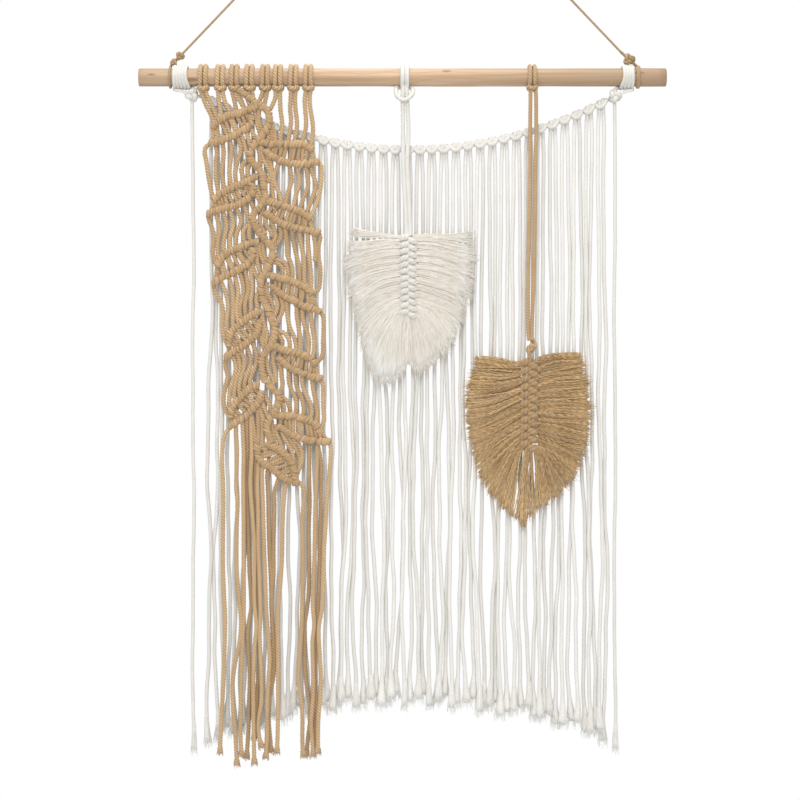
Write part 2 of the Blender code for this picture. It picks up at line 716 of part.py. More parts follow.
def build_tan_feather_cord():
    """A folded cord with its legs laid round each other, down to an overhand knot."""
    foot_x, foot_drop = FEATHERS["tan_feather"][0][0]
    start, stop = TAN_HEAD_X - TAN_TURN_PITCH, TAN_HEAD_X + TAN_TURN_PITCH
    pieces = [turns_on_rod(start, stop, 2, TAN_TURN_OUTER)]
    pieces.append(bight_on_rod(TAN_HEAD_X, 7.6, TAN_RADIUS, TAN_TURN_OUTER))
    knotted = foot_drop + OVERHAND[1][1]
    for phase in (0.0, math.pi):
        places = []
        for step in range(TAN_LAY_STEPS + 1):
            share = step / TAN_LAY_STEPS
            turn = math.tau * TAN_LAY_TURNS * share + phase
            x = TAN_HEAD_X + share * (foot_x - TAN_HEAD_X) + TAN_LAY_RADIUS * math.cos(turn)
            drop = TURN_BOTTOM + share * (knotted - TURN_BOTTOM)
            places.append(spot(x, drop, FEATHER_DEPTH + TAN_LAY_RADIUS * math.sin(turn)))
        pieces.append(cord(places, [TAN_LEG_RADIUS] * len(places), 4))
    places = [spot(foot_x + x, foot_drop + drop, FEATHER_DEPTH) for x, drop, _ in OVERHAND]
    pieces.append(cord(places, [radius for *_, radius in OVERHAND], 6))
    return pieces


def fuse(name, pieces, material, group):
    """Unite pieces that run into each other into the one closed body of a named part."""
    body = pieces[0]
    if len(pieces) > 1:
        others = bpy.data.collections.new("joined")
        bpy.context.scene.collection.children.link(others)
        for piece in pieces[1:]:
            others.objects.link(piece)
        union = body.modifiers.new("union", "BOOLEAN")
        union.operation = "UNION"
        union.solver = "EXACT"
        union.operand_type = "COLLECTION"
        union.collection = others
        body = as_mesh(body, weld=FINE_WELD)
        for piece in pieces[1:]:
            bpy.data.objects.remove(piece)
        bpy.data.collections.remove(others)
    body.name = name
    body.data.name = name
    body.data.materials.append(material)
    body.data.shade_smooth()
    body.data.set_sharp_from_angle(angle=math.radians(50))
    bpy.context.scene.collection.objects.unlink(body)
    group.objects.link(body)


def main():
    clear_scene()
    guide = triangle_section()
    group = bpy.data.collections.new("macrame_wall_hanging")
    bpy.context.scene.collection.children.link(group)
    materials = {name: make_material(name) for name in FINISHES}
    fuse("rod", build_rod(), materials["pine"], group)
    fuse("hanger_cord", build_hanger(), materials["twine"], group)
    fuse("curtain", build_curtain(), materials["white_cord"], group)
    fuse("leaf_panel", build_leaf_panel(), materials["tan_cord"], group)
    fuse("white_feather_cord", build_white_feather_cord(), materials["white_cord"], group)
    fuse("white_feather", build_feather("white_feather"), materials["cream_yarn"], group)
    fuse("tan_feather_cord", build_tan_feather_cord(), materials["tan_cord"], group)
    fuse("tan_feather", build_feather("tan_feather"), materials["golden_yarn"], group)
    bpy.data.objects.remove(guide)


main()
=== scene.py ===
"""The looks of a macrame wall hanging on a wooden rod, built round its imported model.

The tables are in millimetres: x is to the right of the hook, a drop is straight down from
the rod's axis, and a depth is from that axis towards the wall. Shapes are worked out as
arrays of such points, and Bundle.dress turns them into the frame's metres.
"""

import math

import bpy
import numpy as np
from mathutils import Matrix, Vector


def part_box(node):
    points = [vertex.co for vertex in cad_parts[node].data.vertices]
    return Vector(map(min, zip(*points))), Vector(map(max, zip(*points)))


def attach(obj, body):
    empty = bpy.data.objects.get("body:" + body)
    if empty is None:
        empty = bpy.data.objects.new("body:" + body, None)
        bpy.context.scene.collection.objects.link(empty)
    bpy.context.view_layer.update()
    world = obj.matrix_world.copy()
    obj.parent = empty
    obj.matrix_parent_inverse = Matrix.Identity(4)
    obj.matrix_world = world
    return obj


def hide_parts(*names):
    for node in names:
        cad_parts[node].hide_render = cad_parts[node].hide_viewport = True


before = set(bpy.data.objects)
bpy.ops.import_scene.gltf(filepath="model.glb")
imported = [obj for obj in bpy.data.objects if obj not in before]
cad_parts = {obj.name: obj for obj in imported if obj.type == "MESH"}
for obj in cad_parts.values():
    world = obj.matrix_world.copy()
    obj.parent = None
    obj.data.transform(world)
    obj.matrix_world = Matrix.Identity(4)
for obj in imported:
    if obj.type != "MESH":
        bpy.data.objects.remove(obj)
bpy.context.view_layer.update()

MM = 0.001
TAU = math.tau

# The rod, from the frame
rod_low, rod_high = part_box("rod")
ROD_DROP = -0.5 * (rod_low.z + rod_high.z) / MM
ROD_RADIUS = 0.5 * (rod_high.z - rod_low.z) / MM
ROD_HALF = rod_high.x / MM
ROD_EDGE = 0.7
EDGE_STEPS = 6
ROD_SIDES = 72
ROD_RINGS = 60
ROD_SWELL = 0.25               # of its radius between the edges
END_HOLE = 0.6                 # radius of the smallest ring on the rod's ends
END_RINGS = 4

# Cords
TAN_RADIUS = 2.5
WHITE_RADIUS = 2.0
TWINE_RADIUS = 1.5
TAN_LAY = 10.0                 # length in which a ply goes once round
WHITE_LAY = 13.0
TWINE_LAY = 6.5
PLIES = 3
PLY_SIDES = 9                  # three points for each ply, the first in the groove
GROOVE = 0.28
SOFT_GROOVE = 0.12             # of loosely laid white cord
ROUND_SIDES = 8
FIBRE_TURN = 0.618034          # of a turn, from one loose fibre to the next round a cord's end
SPAN_POINTS = 24               # worked out between two given points of a route
FINE_STEP = 0.5                # between points that are only measured along
ROPE_STEP = 1.35               # between the rings of a rope
SWAY_WAVES = ((310.0, 1.0), (130.0, 0.45), (58.0, 0.16))    # length, share of the full size
SWAY_IN_DEPTH = 0.35           # of the sway sideways
OPENING_BEND = 1.6             # the power by which a cord opens towards its end

# Depths of the layers
PANEL_DEPTH = -7.8
TOP_LEG_DEPTH = -8.0
FRINGE_DEPTH = {"front": -11.6, "back": -5.9}
CARRIER_DEPTH = 4.6
CARRIER_END_DEPTH = 2.0
CURTAIN_DEPTH = (2.4, 6.4)
FEATHER_DEPTH = -9.5

# Leaf panel
HEADS_X = (-226.5, -207.0, -191.0, -174.0, -156.0, -141.5, -124.0, -107.0)
STEM = (
    # x_mm, drop_mm
    (-185, 16), (-175, 23.5), (-165.5, 30), (-157, 36), (-151.5, 43.5), (-151.5, 54), (-155.5, 62),
    (-160.5, 69), (-167, 76.5), (-171, 82.5), (-172.5, 89.5), (-171, 96), (-167, 101), (-162.5, 105),
    (-160.5, 109), (-158.5, 115), (-157.5, 121.5), (-156.5, 128.5), (-155.5, 134.5), (-156, 139),
    (-158.5, 144), (-162.5, 149), (-167, 154.5), (-170, 160), (-169, 166), (-166, 172), (-161.5, 178.5),
    (-157.5, 183.5), (-152.5, 188.5), (-147.5, 194.5), (-146.5, 200.5), (-148.5, 207), (-151.5, 213),
    (-153.5, 218), (-157.5, 224.5), (-160, 230.5), (-161.5, 236.5), (-161, 242.5), (-159.5, 250),
    (-156.5, 257), (-153.5, 263), (-151.5, 269.5), (-148.5, 275.5), (-145.5, 282.5), (-144.5, 288.5),
    (-145.5, 295), (-147.5, 301.5), (-150.5, 307.5), (-155.5, 314), (-159.5, 320), (-159.5, 327.5),
    (-159.5, 333.5), (-158, 339.5), (-154.5, 345.5), (-150.5, 350.5), (-146.5, 355), (-142, 359),
    (-140, 364.5), (-141, 371), (-143, 377), (-146.5, 382.5), (-150.5, 388.5), (-153, 394.5),
    (-153.5, 402), (-151.5, 408), (-149.5, 414),
)
LEAVES = {
    # name: the upper bar and the lower bar, each from the stem out to the tip as x_mm, drop_mm
    "left_1": (
        ((-165.5, 33), (-170, 36.5), (-179, 39.5), (-188, 42.5), (-197.5, 44.5), (-205.5, 49),
         (-212, 54), (-216, 58)),
        ((-172.5, 45.5), (-171, 51), (-174, 55.5), (-179, 60), (-185, 64), (-192.5, 68), (-201.5, 71.5),
         (-210.5, 74.5), (-219, 75.5)),
    ),
    "left_2": (
        ((-164.5, 113.5), (-170, 116), (-179, 120.5), (-189, 125), (-199.5, 129.5), (-208.5, 134.5),
         (-214.5, 140)),
        ((-170.5, 123.5), (-169.5, 129.5), (-173, 136.5), (-179, 141.5), (-187, 146), (-196.5, 148.5),
         (-206.5, 151), (-215.5, 154), (-220.5, 156)),
    ),
    "left_3": (
        ((-164.5, 187.5), (-173, 189.5), (-181, 192.5), (-191.5, 196.5), (-200.5, 201.5), (-206.5, 208),
         (-210.5, 215)),
        ((-170, 195.5), (-169, 202), (-172, 209), (-178, 215), (-187, 220), (-196.5, 224.5),
         (-206.5, 229.5), (-214.5, 235.5)),
    ),
    "left_4": (
        ((-159.5, 267), (-168, 269.5), (-175, 273.5), (-183, 279.5), (-190, 285.5), (-195.5, 292.5),
         (-197, 300.5), (-197.5, 305.5)),
        ((-161.5, 279), (-163, 285), (-166, 292.5), (-171, 298.5), (-178, 303.5), (-186, 309),
         (-194.5, 314), (-200.5, 319)),
    ),
    "left_5": (
        ((-164.5, 350), (-171, 352.5), (-179, 359), (-186, 366), (-191.5, 373), (-194.5, 380.5),
         (-195.5, 386.5)),
        ((-160, 358), (-161, 364), (-164.5, 371.5), (-171, 379), (-179, 386.5), (-187, 391.5),
         (-195.5, 396.5)),
    ),
    "right_1": (
        ((-160, 74), (-154.5, 76), (-144, 77), (-134, 77), (-124, 77), (-115.5, 77), (-108.5, 79),
         (-103.5, 83)),
        ((-156.5, 84.5), (-150.5, 89.5), (-142, 94), (-134, 97), (-126, 99), (-115.5, 99.5),
         (-105.5, 98.5), (-95, 97.5)),
    ),
    "right_2": (
        ((-155.5, 141), (-149.5, 143), (-139, 146), (-129, 149), (-118.5, 152), (-110.5, 156.5),
         (-104.5, 162)),
        ((-155.5, 155), (-149.5, 159), (-142, 164), (-134, 168), (-124, 171), (-113.5, 173.5),
         (-103.5, 176), (-95, 177.5)),
    ),
    "right_3": (
        ((-152.5, 226), (-144, 227.5), (-136, 229.5), (-126, 232.5), (-116.5, 236), (-108.5, 240.5),
         (-103, 246)),
        ((-147.5, 237.5), (-141, 244.5), (-134, 249), (-126, 253), (-118.5, 257.5), (-110.5, 261),
         (-103, 263.5), (-94, 267)),
    ),
    "right_4": (
        ((-145.5, 305.5), (-138, 309), (-129, 312), (-118.5, 314), (-110.5, 317), (-104.5, 321),
         (-98.5, 326.5)),
        ((-141, 319), (-135, 324.5), (-129, 330), (-121, 334), (-111.5, 337.5), (-102.5, 340.5),
         (-93, 342.5)),
    ),
    "right_5": (
        ((-147.5, 384.5), (-141, 384.5), (-131, 385), (-121, 386), (-111.5, 388.5), (-103.5, 392),
         (-96, 397)),
        ((-140, 397.5), (-134, 401), (-126, 406), (-117.5, 410), (-107.5, 413), (-95, 414), (-83, 414.5)),
    ),
    "bottom": (
        ((-153.5, 416.5), (-143, 421.5), (-136, 426), (-130, 433), (-125.5, 439), (-122.5, 447),
         (-121.5, 455.5)),
        ((-164.5, 420), (-164.5, 426.5), (-163.5, 433), (-158.5, 438.5), (-151.5, 442.5), (-144, 448),
         (-138.5, 453.5), (-131.5, 457.5), (-124, 460.5), (-119, 460.5)),
    ),
}
TOP_STRANDS = (
    # each head's left leg and right leg, from the head down, as x_mm, drop_mm
    (((-227, 16.5), (-223.5, 31.5), (-218, 42.5), (-214, 53.5)),
     ((-223, 16.5), (-218.5, 29), (-213, 41), (-210, 49.5))),
    (((-208.5, 16.5), (-208, 30), (-206, 41.5), (-205, 47)),
     ((-204.5, 16.5), (-201.5, 29), (-197, 38), (-195.5, 44.5))),
    (((-192.5, 16.5), (-190.5, 29), (-189, 37.5), (-188.5, 42)),
     ((-187.5, 16.5), (-184, 25), (-180.5, 33.5), (-178.5, 39.5))),
    (((-176.5, 15), (-177.5, 20), (-179.5, 24.5)),
     ((-172, 15), (-170, 21), (-169.5, 27))),
    (((-159.5, 15.5), (-160, 22), (-163.5, 30)),
     ((-154.5, 15.5), (-155, 23.5), (-157, 33.5))),
    (((-142.5, 16), (-144.5, 24.5), (-147.5, 32), (-150.5, 38)),
     ((-138.5, 15.5), (-139, 25.5), (-138.5, 37.5), (-137, 49), (-136.5, 59), (-138, 66.5), (-139, 75.5))),
    (((-126, 15.5), (-127, 25.5), (-127.5, 37.5), (-126.5, 49), (-127.5, 60), (-129, 69), (-130, 75.5)),
     ((-122.5, 15.5), (-122, 25.5), (-121.5, 37.5), (-120, 49), (-120, 60), (-122, 69), (-123, 75.5))),
    (((-110.5, 15.5), (-111, 25.5), (-110.5, 37.5), (-109.5, 49), (-110, 60), (-112.5, 70), (-113.5, 77)),
     ((-106, 15.5), (-105.5, 25.5), (-104.5, 37.5), (-102.5, 49), (-101.5, 60), (-102.5, 69.5),
      (-104.5, 79.5))),
)
STRANDS = (
    # cords between the bars and beside the stem, as x_mm, drop_mm
    ((-190, 21), (-185, 27), (-181, 33.5), (-178, 38.5)),
    ((-181.5, 16.5), (-176.5, 24.5), (-173.5, 32.5), (-172.5, 37)),
    ((-150.5, 53), (-145.5, 63), (-144, 75.5)),
    ((-151.5, 58.5), (-148, 67.5), (-149, 75.5)),
    ((-153, 62), (-152.5, 70), (-154.5, 75.5)),
    ((-219, 76.5), (-223.5, 80.5), (-224.5, 86.5), (-223, 95), (-221.5, 105), (-220, 115),
     (-218, 125.5), (-215.5, 139)),
    ((-213, 75), (-210.5, 86.5), (-212, 95), (-212, 105), (-212, 115), (-210, 125.5), (-209, 134.5)),
    ((-205, 73), (-203, 84.5), (-203.5, 93), (-204.5, 101), (-205, 110), (-204, 118.5), (-202, 130)),
    ((-197, 69.5), (-194, 82.5), (-195, 92), (-196, 101), (-196.5, 110), (-195.5, 118.5), (-194, 126.5)),
    ((-188.5, 66), (-184, 78.5), (-184, 86.5), (-187, 95), (-189, 103), (-190, 111), (-188.5, 123.5)),
    ((-173, 92), (-177, 95), (-181, 100), (-183, 105), (-182, 111), (-180, 119.5)),
    ((-184, 64), (-180, 74.5), (-178, 82.5), (-176, 90.5), (-172, 96)),
    ((-178, 60.5), (-175, 70), (-173, 77.5), (-171, 82.5)),
    ((-173, 54.5), (-170, 64), (-167, 70), (-165, 74.5)),
    ((-168, 33.5), (-167, 48), (-164.5, 56), (-162.5, 62), (-160.5, 68.5)),
    ((-162, 33.5), (-163, 41.5), (-163, 50), (-160.5, 58), (-157.5, 64.5)),
    ((-172.5, 98), (-175.5, 105.5), (-175, 112), (-172.5, 116.5)),
    ((-138.5, 96), (-142, 103), (-145.5, 111), (-145.5, 119.5), (-142, 127.5), (-139, 135.5),
     (-137.5, 145)),
    ((-151.5, 90.5), (-149, 103), (-148, 113), (-148, 123.5), (-147.5, 131.5), (-145.5, 143)),
    ((-129, 97.5), (-127, 109), (-126, 117.5), (-128, 125.5), (-131, 134.5), (-133, 146.5)),
    ((-121, 98.5), (-118.5, 109), (-117, 117.5), (-118, 125.5), (-121, 134.5), (-124, 148.5)),
    ((-110, 98.5), (-108.5, 109), (-107.5, 117.5), (-107.5, 125.5), (-111.5, 135.5), (-116, 148.5)),
    ((-105.5, 98.5), (-102.5, 109), (-99.5, 117.5), (-98.5, 125.5), (-101.5, 135.5), (-105.5, 146),
     (-109.5, 155)),
    ((-95.5, 97.5), (-92.5, 101), (-92, 107.5), (-92, 115), (-93, 125.5), (-95, 135.5), (-98.5, 146),
     (-103.5, 159.5)),
    ((-160.5, 77), (-159.5, 84.5), (-158.5, 92), (-155.5, 99), (-151.5, 106), (-149.5, 113.5),
     (-153.5, 120)),
    ((-154.5, 83.5), (-152.5, 95), (-149.5, 101), (-148.5, 108), (-152, 116), (-156.5, 121.5)),
    ((-164.5, 79), (-162, 88), (-161.5, 97.5), (-161.5, 106.5)),
    ((-220.5, 156), (-220, 162), (-217, 170), (-214.5, 178.5), (-214.5, 187.5), (-215.5, 196.5),
     (-214.5, 205), (-211, 214.5)),
    ((-212.5, 153.5), (-209, 166), (-208, 174), (-209, 183.5), (-210, 192.5), (-209.5, 200.5),
     (-208, 209.5)),
    ((-204.5, 151), (-200.5, 164), (-200, 172), (-201.5, 180.5), (-203, 188.5), (-203, 195.5), (-201, 203)),
    ((-196.5, 149), (-192.5, 164), (-192.5, 172), (-195, 179.5), (-196, 187.5), (-195, 198.5)),
    ((-189.5, 147.5), (-183.5, 161), (-184, 168), (-187, 175), (-189, 183.5), (-189, 196)),
    ((-171, 167.5), (-174, 169), (-178, 171), (-180.5, 176), (-180.5, 182.5), (-179, 191.5)),
    ((-181.5, 143.5), (-177, 153.5), (-175.5, 160.5), (-174, 165.5), (-169.5, 171.5)),
    ((-174.5, 139), (-171, 145), (-168.5, 151), (-167.5, 155)),
    ((-169.5, 130.5), (-164.5, 137), (-161, 144), (-160, 146.5)),
    ((-165, 123.5), (-163, 131), (-159, 137), (-157, 141.5)),
    ((-170.5, 165), (-174, 175), (-173.5, 182.5), (-171.5, 189)),
    ((-150.5, 158.5), (-147, 169), (-145, 176.5), (-144.5, 183.5), (-148.5, 190)),
    ((-141.5, 163.5), (-138.5, 173.5), (-138, 180.5), (-141, 187.5), (-147.5, 194)),
    ((-157.5, 149.5), (-161, 157.5), (-162, 165.5), (-159.5, 172.5), (-155.5, 179.5)),
    ((-155, 153.5), (-155.5, 161), (-154.5, 169), (-149.5, 176), (-148.5, 182.5)),
    ((-134, 169.5), (-132, 182.5), (-131, 192.5), (-130.5, 203), (-127, 211), (-125, 219), (-125, 231.5)),
    ((-126, 172), (-124, 185.5), (-122, 195.5), (-120, 205), (-117.5, 215), (-117, 225.5), (-116.5, 234)),
    ((-117.5, 173.5), (-115.5, 187.5), (-113.5, 198), (-111.5, 209), (-111.5, 219), (-111.5, 229.5),
     (-110.5, 238.5)),
    ((-107.5, 176.5), (-107.5, 187.5), (-106.5, 198), (-105.5, 208), (-104.5, 219), (-103.5, 229.5),
     (-104, 243)),
    ((-101, 177.5), (-99.5, 187.5), (-98.5, 196.5), (-99.5, 210)),
    ((-95, 177.5), (-93.5, 183), (-95, 190.5), (-95.5, 199), (-95, 208), (-93.5, 217), (-93.5, 229.5),
     (-95.5, 241.5), (-102.5, 247)),
    ((-146.5, 207), (-141, 208.5), (-135, 210.5), (-131.5, 215.5), (-130, 222), (-130.5, 230.5)),
    ((-147.5, 210.5), (-142.5, 212), (-137, 216), (-136, 222), (-137, 229)),
    ((-214.5, 236), (-213, 243.5), (-208.5, 252), (-205, 259), (-204, 268), (-204.5, 276.5),
     (-204.5, 286.5), (-202.5, 296), (-199.5, 303), (-196, 310)),
    ((-207, 230.5), (-201.5, 243.5), (-199, 252), (-198, 260), (-198.5, 268), (-199.5, 276.5),
     (-199, 286.5), (-198, 295), (-196.5, 300.5)),
    ((-197.5, 225.5), (-193.5, 241.5), (-192.5, 250), (-192, 259), (-192.5, 268), (-192.5, 276.5),
     (-191.5, 287)),
    ((-191, 222.5), (-187, 240.5), (-187, 249), (-188, 258), (-188.5, 267), (-186, 282)),
    ((-185.5, 220.5), (-181.5, 234), (-180.5, 243.5), (-182.5, 252), (-184.5, 260), (-184.5, 268.5),
     (-182, 278.5)),
    ((-179.5, 217.5), (-176, 233), (-175.5, 244.5), (-178, 254), (-179, 262), (-177.5, 274.5)),
    ((-173.5, 212.5), (-171, 229.5), (-170.5, 242.5), (-172, 253), (-172, 261), (-170.5, 270)),
    ((-165.5, 193), (-165.5, 205.5), (-164, 214.5), (-161, 223.5), (-159.5, 227.5)),
    ((-170.5, 206.5), (-169.5, 217), (-166, 226), (-161.5, 233)),
    ((-163, 188.5), (-162, 199), (-158.5, 208.5), (-154.5, 215.5)),
    ((-158.5, 185.5), (-158, 196.5), (-155.5, 205.5), (-152, 212.5)),
    ((-161.5, 242), (-165, 249), (-165.5, 256.5), (-163, 264.5)),
    ((-153.5, 233), (-154.5, 240), (-153, 247), (-149.5, 254), (-147.5, 261.5), (-149, 269.5)),
    ((-147, 239.5), (-144, 250.5), (-142, 260), (-143.5, 267), (-147.5, 275)),
    ((-139, 247.5), (-136, 259), (-136.5, 267), (-139.5, 273.5), (-143.5, 280.5)),
    ((-158.5, 237.5), (-157.5, 244), (-155.5, 251), (-153.5, 259)),
    ((-132.5, 250.5), (-131, 265), (-130, 275.5), (-128, 284.5), (-125, 291.5), (-122, 299), (-120, 311)),
    ((-120, 258), (-120, 271.5), (-118.5, 280.5), (-117.5, 288.5), (-116, 296), (-116, 303), (-117, 312.5)),
    ((-114, 260.5), (-113.5, 272.5), (-111.5, 281.5), (-108.5, 289.5), (-106.5, 297.5), (-106.5, 305.5),
     (-107.5, 317)),
    ((-105, 264), (-103.5, 274.5), (-102.5, 283.5), (-101, 292.5), (-100, 301.5), (-100.5, 311),
     (-102.5, 321)),
    ((-94.5, 267), (-90.5, 271), (-89.5, 278), (-89.5, 291), (-90, 300.5), (-90, 310), (-91.5, 318),
     (-97.5, 325)),
    ((-144.5, 288), (-140, 289), (-134, 291.5), (-130, 296.5), (-128, 302.5), (-128.5, 311)),
    ((-145.5, 292.5), (-140, 294.5), (-136.5, 300), (-137, 307.5)),
    ((-200, 318), (-201, 324.5), (-200.5, 332), (-198.5, 339), (-199.5, 346), (-201.5, 354),
     (-203, 362.5), (-203, 370.5), (-201.5, 377.5), (-197, 385.5)),
    ((-194, 315), (-190, 324.5), (-189.5, 334.5), (-192, 343.5), (-194.5, 351.5), (-196, 360),
     (-196.5, 368), (-194, 379)),
    ((-189.5, 312), (-185, 323), (-185, 332.5), (-188, 341.5), (-190, 350.5), (-191, 359),
     (-190.5, 366), (-189, 371)),
    ((-185.5, 309), (-180, 320), (-180, 330.5), (-182.5, 338.5), (-184.5, 346.5), (-185.5, 353.5),
     (-184.5, 365)),
    ((-178, 305), (-173, 316.5), (-172.5, 326), (-175, 334.5), (-178, 342.5), (-179.5, 350.5),
     (-177.5, 359)),
    ((-171, 300), (-166, 314.5), (-165.5, 324), (-168.5, 333), (-172, 340.5), (-173, 347.5),
     (-171.5, 354.5)),
    ((-164, 288.5), (-160, 299), (-158, 306), (-156, 312.5)),
    ((-159.5, 270.5), (-156, 284), (-153.5, 293.5), (-154.5, 300.5), (-155.5, 310)),
    ((-161, 274), (-158.5, 285), (-158, 294.5), (-157, 302.5)),
    ((-156, 316), (-153.5, 326.5), (-152, 335), (-148, 342.5), (-147, 350)),
    ((-147.5, 309), (-147, 323), (-145, 331.5), (-144, 338.5), (-144, 348)),
    ((-141, 320.5), (-138, 333), (-137, 341.5), (-136, 349.5), (-138, 357)),
    ((-129, 331.5), (-129, 344), (-127, 353.5), (-123, 362), (-120.5, 370), (-120.5, 377), (-121.5, 386)),
    ((-121.5, 335.5), (-121, 347.5), (-118.5, 356.5), (-114.5, 365), (-112.5, 373), (-112, 380.5),
     (-114, 387.5)),
    ((-114, 338), (-113.5, 349.5), (-110.5, 358.5), (-106.5, 367), (-103.5, 375), (-103, 382.5),
     (-105.5, 390.5)),
    ((-103, 341), (-101.5, 353.5), (-99.5, 364), (-97.5, 374), (-96.5, 383.5), (-98.5, 395)),
    ((-93.5, 343), (-90.5, 349.5), (-90, 358.5), (-90, 370), (-89.5, 379.5), (-89, 388.5),
     (-91.5, 396.5), (-97.5, 403.5)),
    ((-140.5, 363), (-136, 364.5), (-131.5, 368), (-129, 373), (-127.5, 379), (-129, 385.5)),
    ((-141.5, 369), (-136.5, 371), (-134.5, 376.5), (-136.5, 384)),
    ((-159, 357), (-155, 364.5), (-151, 371.5), (-149, 379), (-149.5, 386.5)),
    ((-160.5, 366), (-157.5, 375), (-154.5, 382), (-152, 389)),
    ((-163.5, 371), (-160.5, 381.5), (-157.5, 388.5), (-154.5, 395.5)),
    ((-138, 399), (-134.5, 409.5), (-130, 417.5), (-125.5, 426.5), (-123.5, 439)),
    ((-131.5, 403.5), (-126.5, 414), (-121, 422.5), (-117.5, 431), (-116.5, 439), (-119.5, 451.5)),
    ((-124, 407), (-118.5, 416.5), (-114.5, 425), (-114, 434), (-117, 444.5), (-121.5, 455)),
    ((-143.5, 394.5), (-143, 404.5), (-139.5, 414), (-136.5, 423)),
    ((-148.5, 390), (-148, 399), (-146.5, 408), (-144.5, 418.5)),
    ((-165, 373), (-164, 387.5), (-163.5, 401.5), (-164, 412.5), (-164.5, 422)),
    ((-172, 381), (-169.5, 394.5), (-168, 408), (-166, 420.5), (-163.5, 431)),
    ((-159.5, 383), (-158.5, 394.5), (-159, 406), (-158.5, 417.5), (-155.5, 426.5)),
)
WEB_PITCH = 5.4                # of the short cords across a leaf, between its bars
WEB_LEAN = 0.12                # of the bar's length, towards the stem at the foot
BAR_REACH = 2.3                # from a leaf's core to the middle of the cord hitched round it
STEM_REACH = 2.3
HITCH_RADIUS = 2.5
HITCH_PITCH = 3.2
HITCH_SLANT = 0.45             # how far a hitch leans along its core, for its reach
BAR_DEPTH = -10.3
WEB_RADIUS = 2.6
HITCH_STEPS = 12
HITCH_SIDES = 6
HITCH_FLATNESS = 0.92          # a hitch's reach in depth for its reach across
HITCH_SCATTER = 1.4            # how much places along the core differ
CORE_STEP = 3.0
CORE_GROWTH = 1.1              # a core's radius for its hitches' reach
TOP_CORD_RADIUS = 2.95
FRINGE_RADIUS = 2.8
FRINGE_WIDE = 3.9              # radius to which the fringe's cords open
FRINGE_OPENING = 13.0          # length over which they do
FRINGE_FIBRES = 24
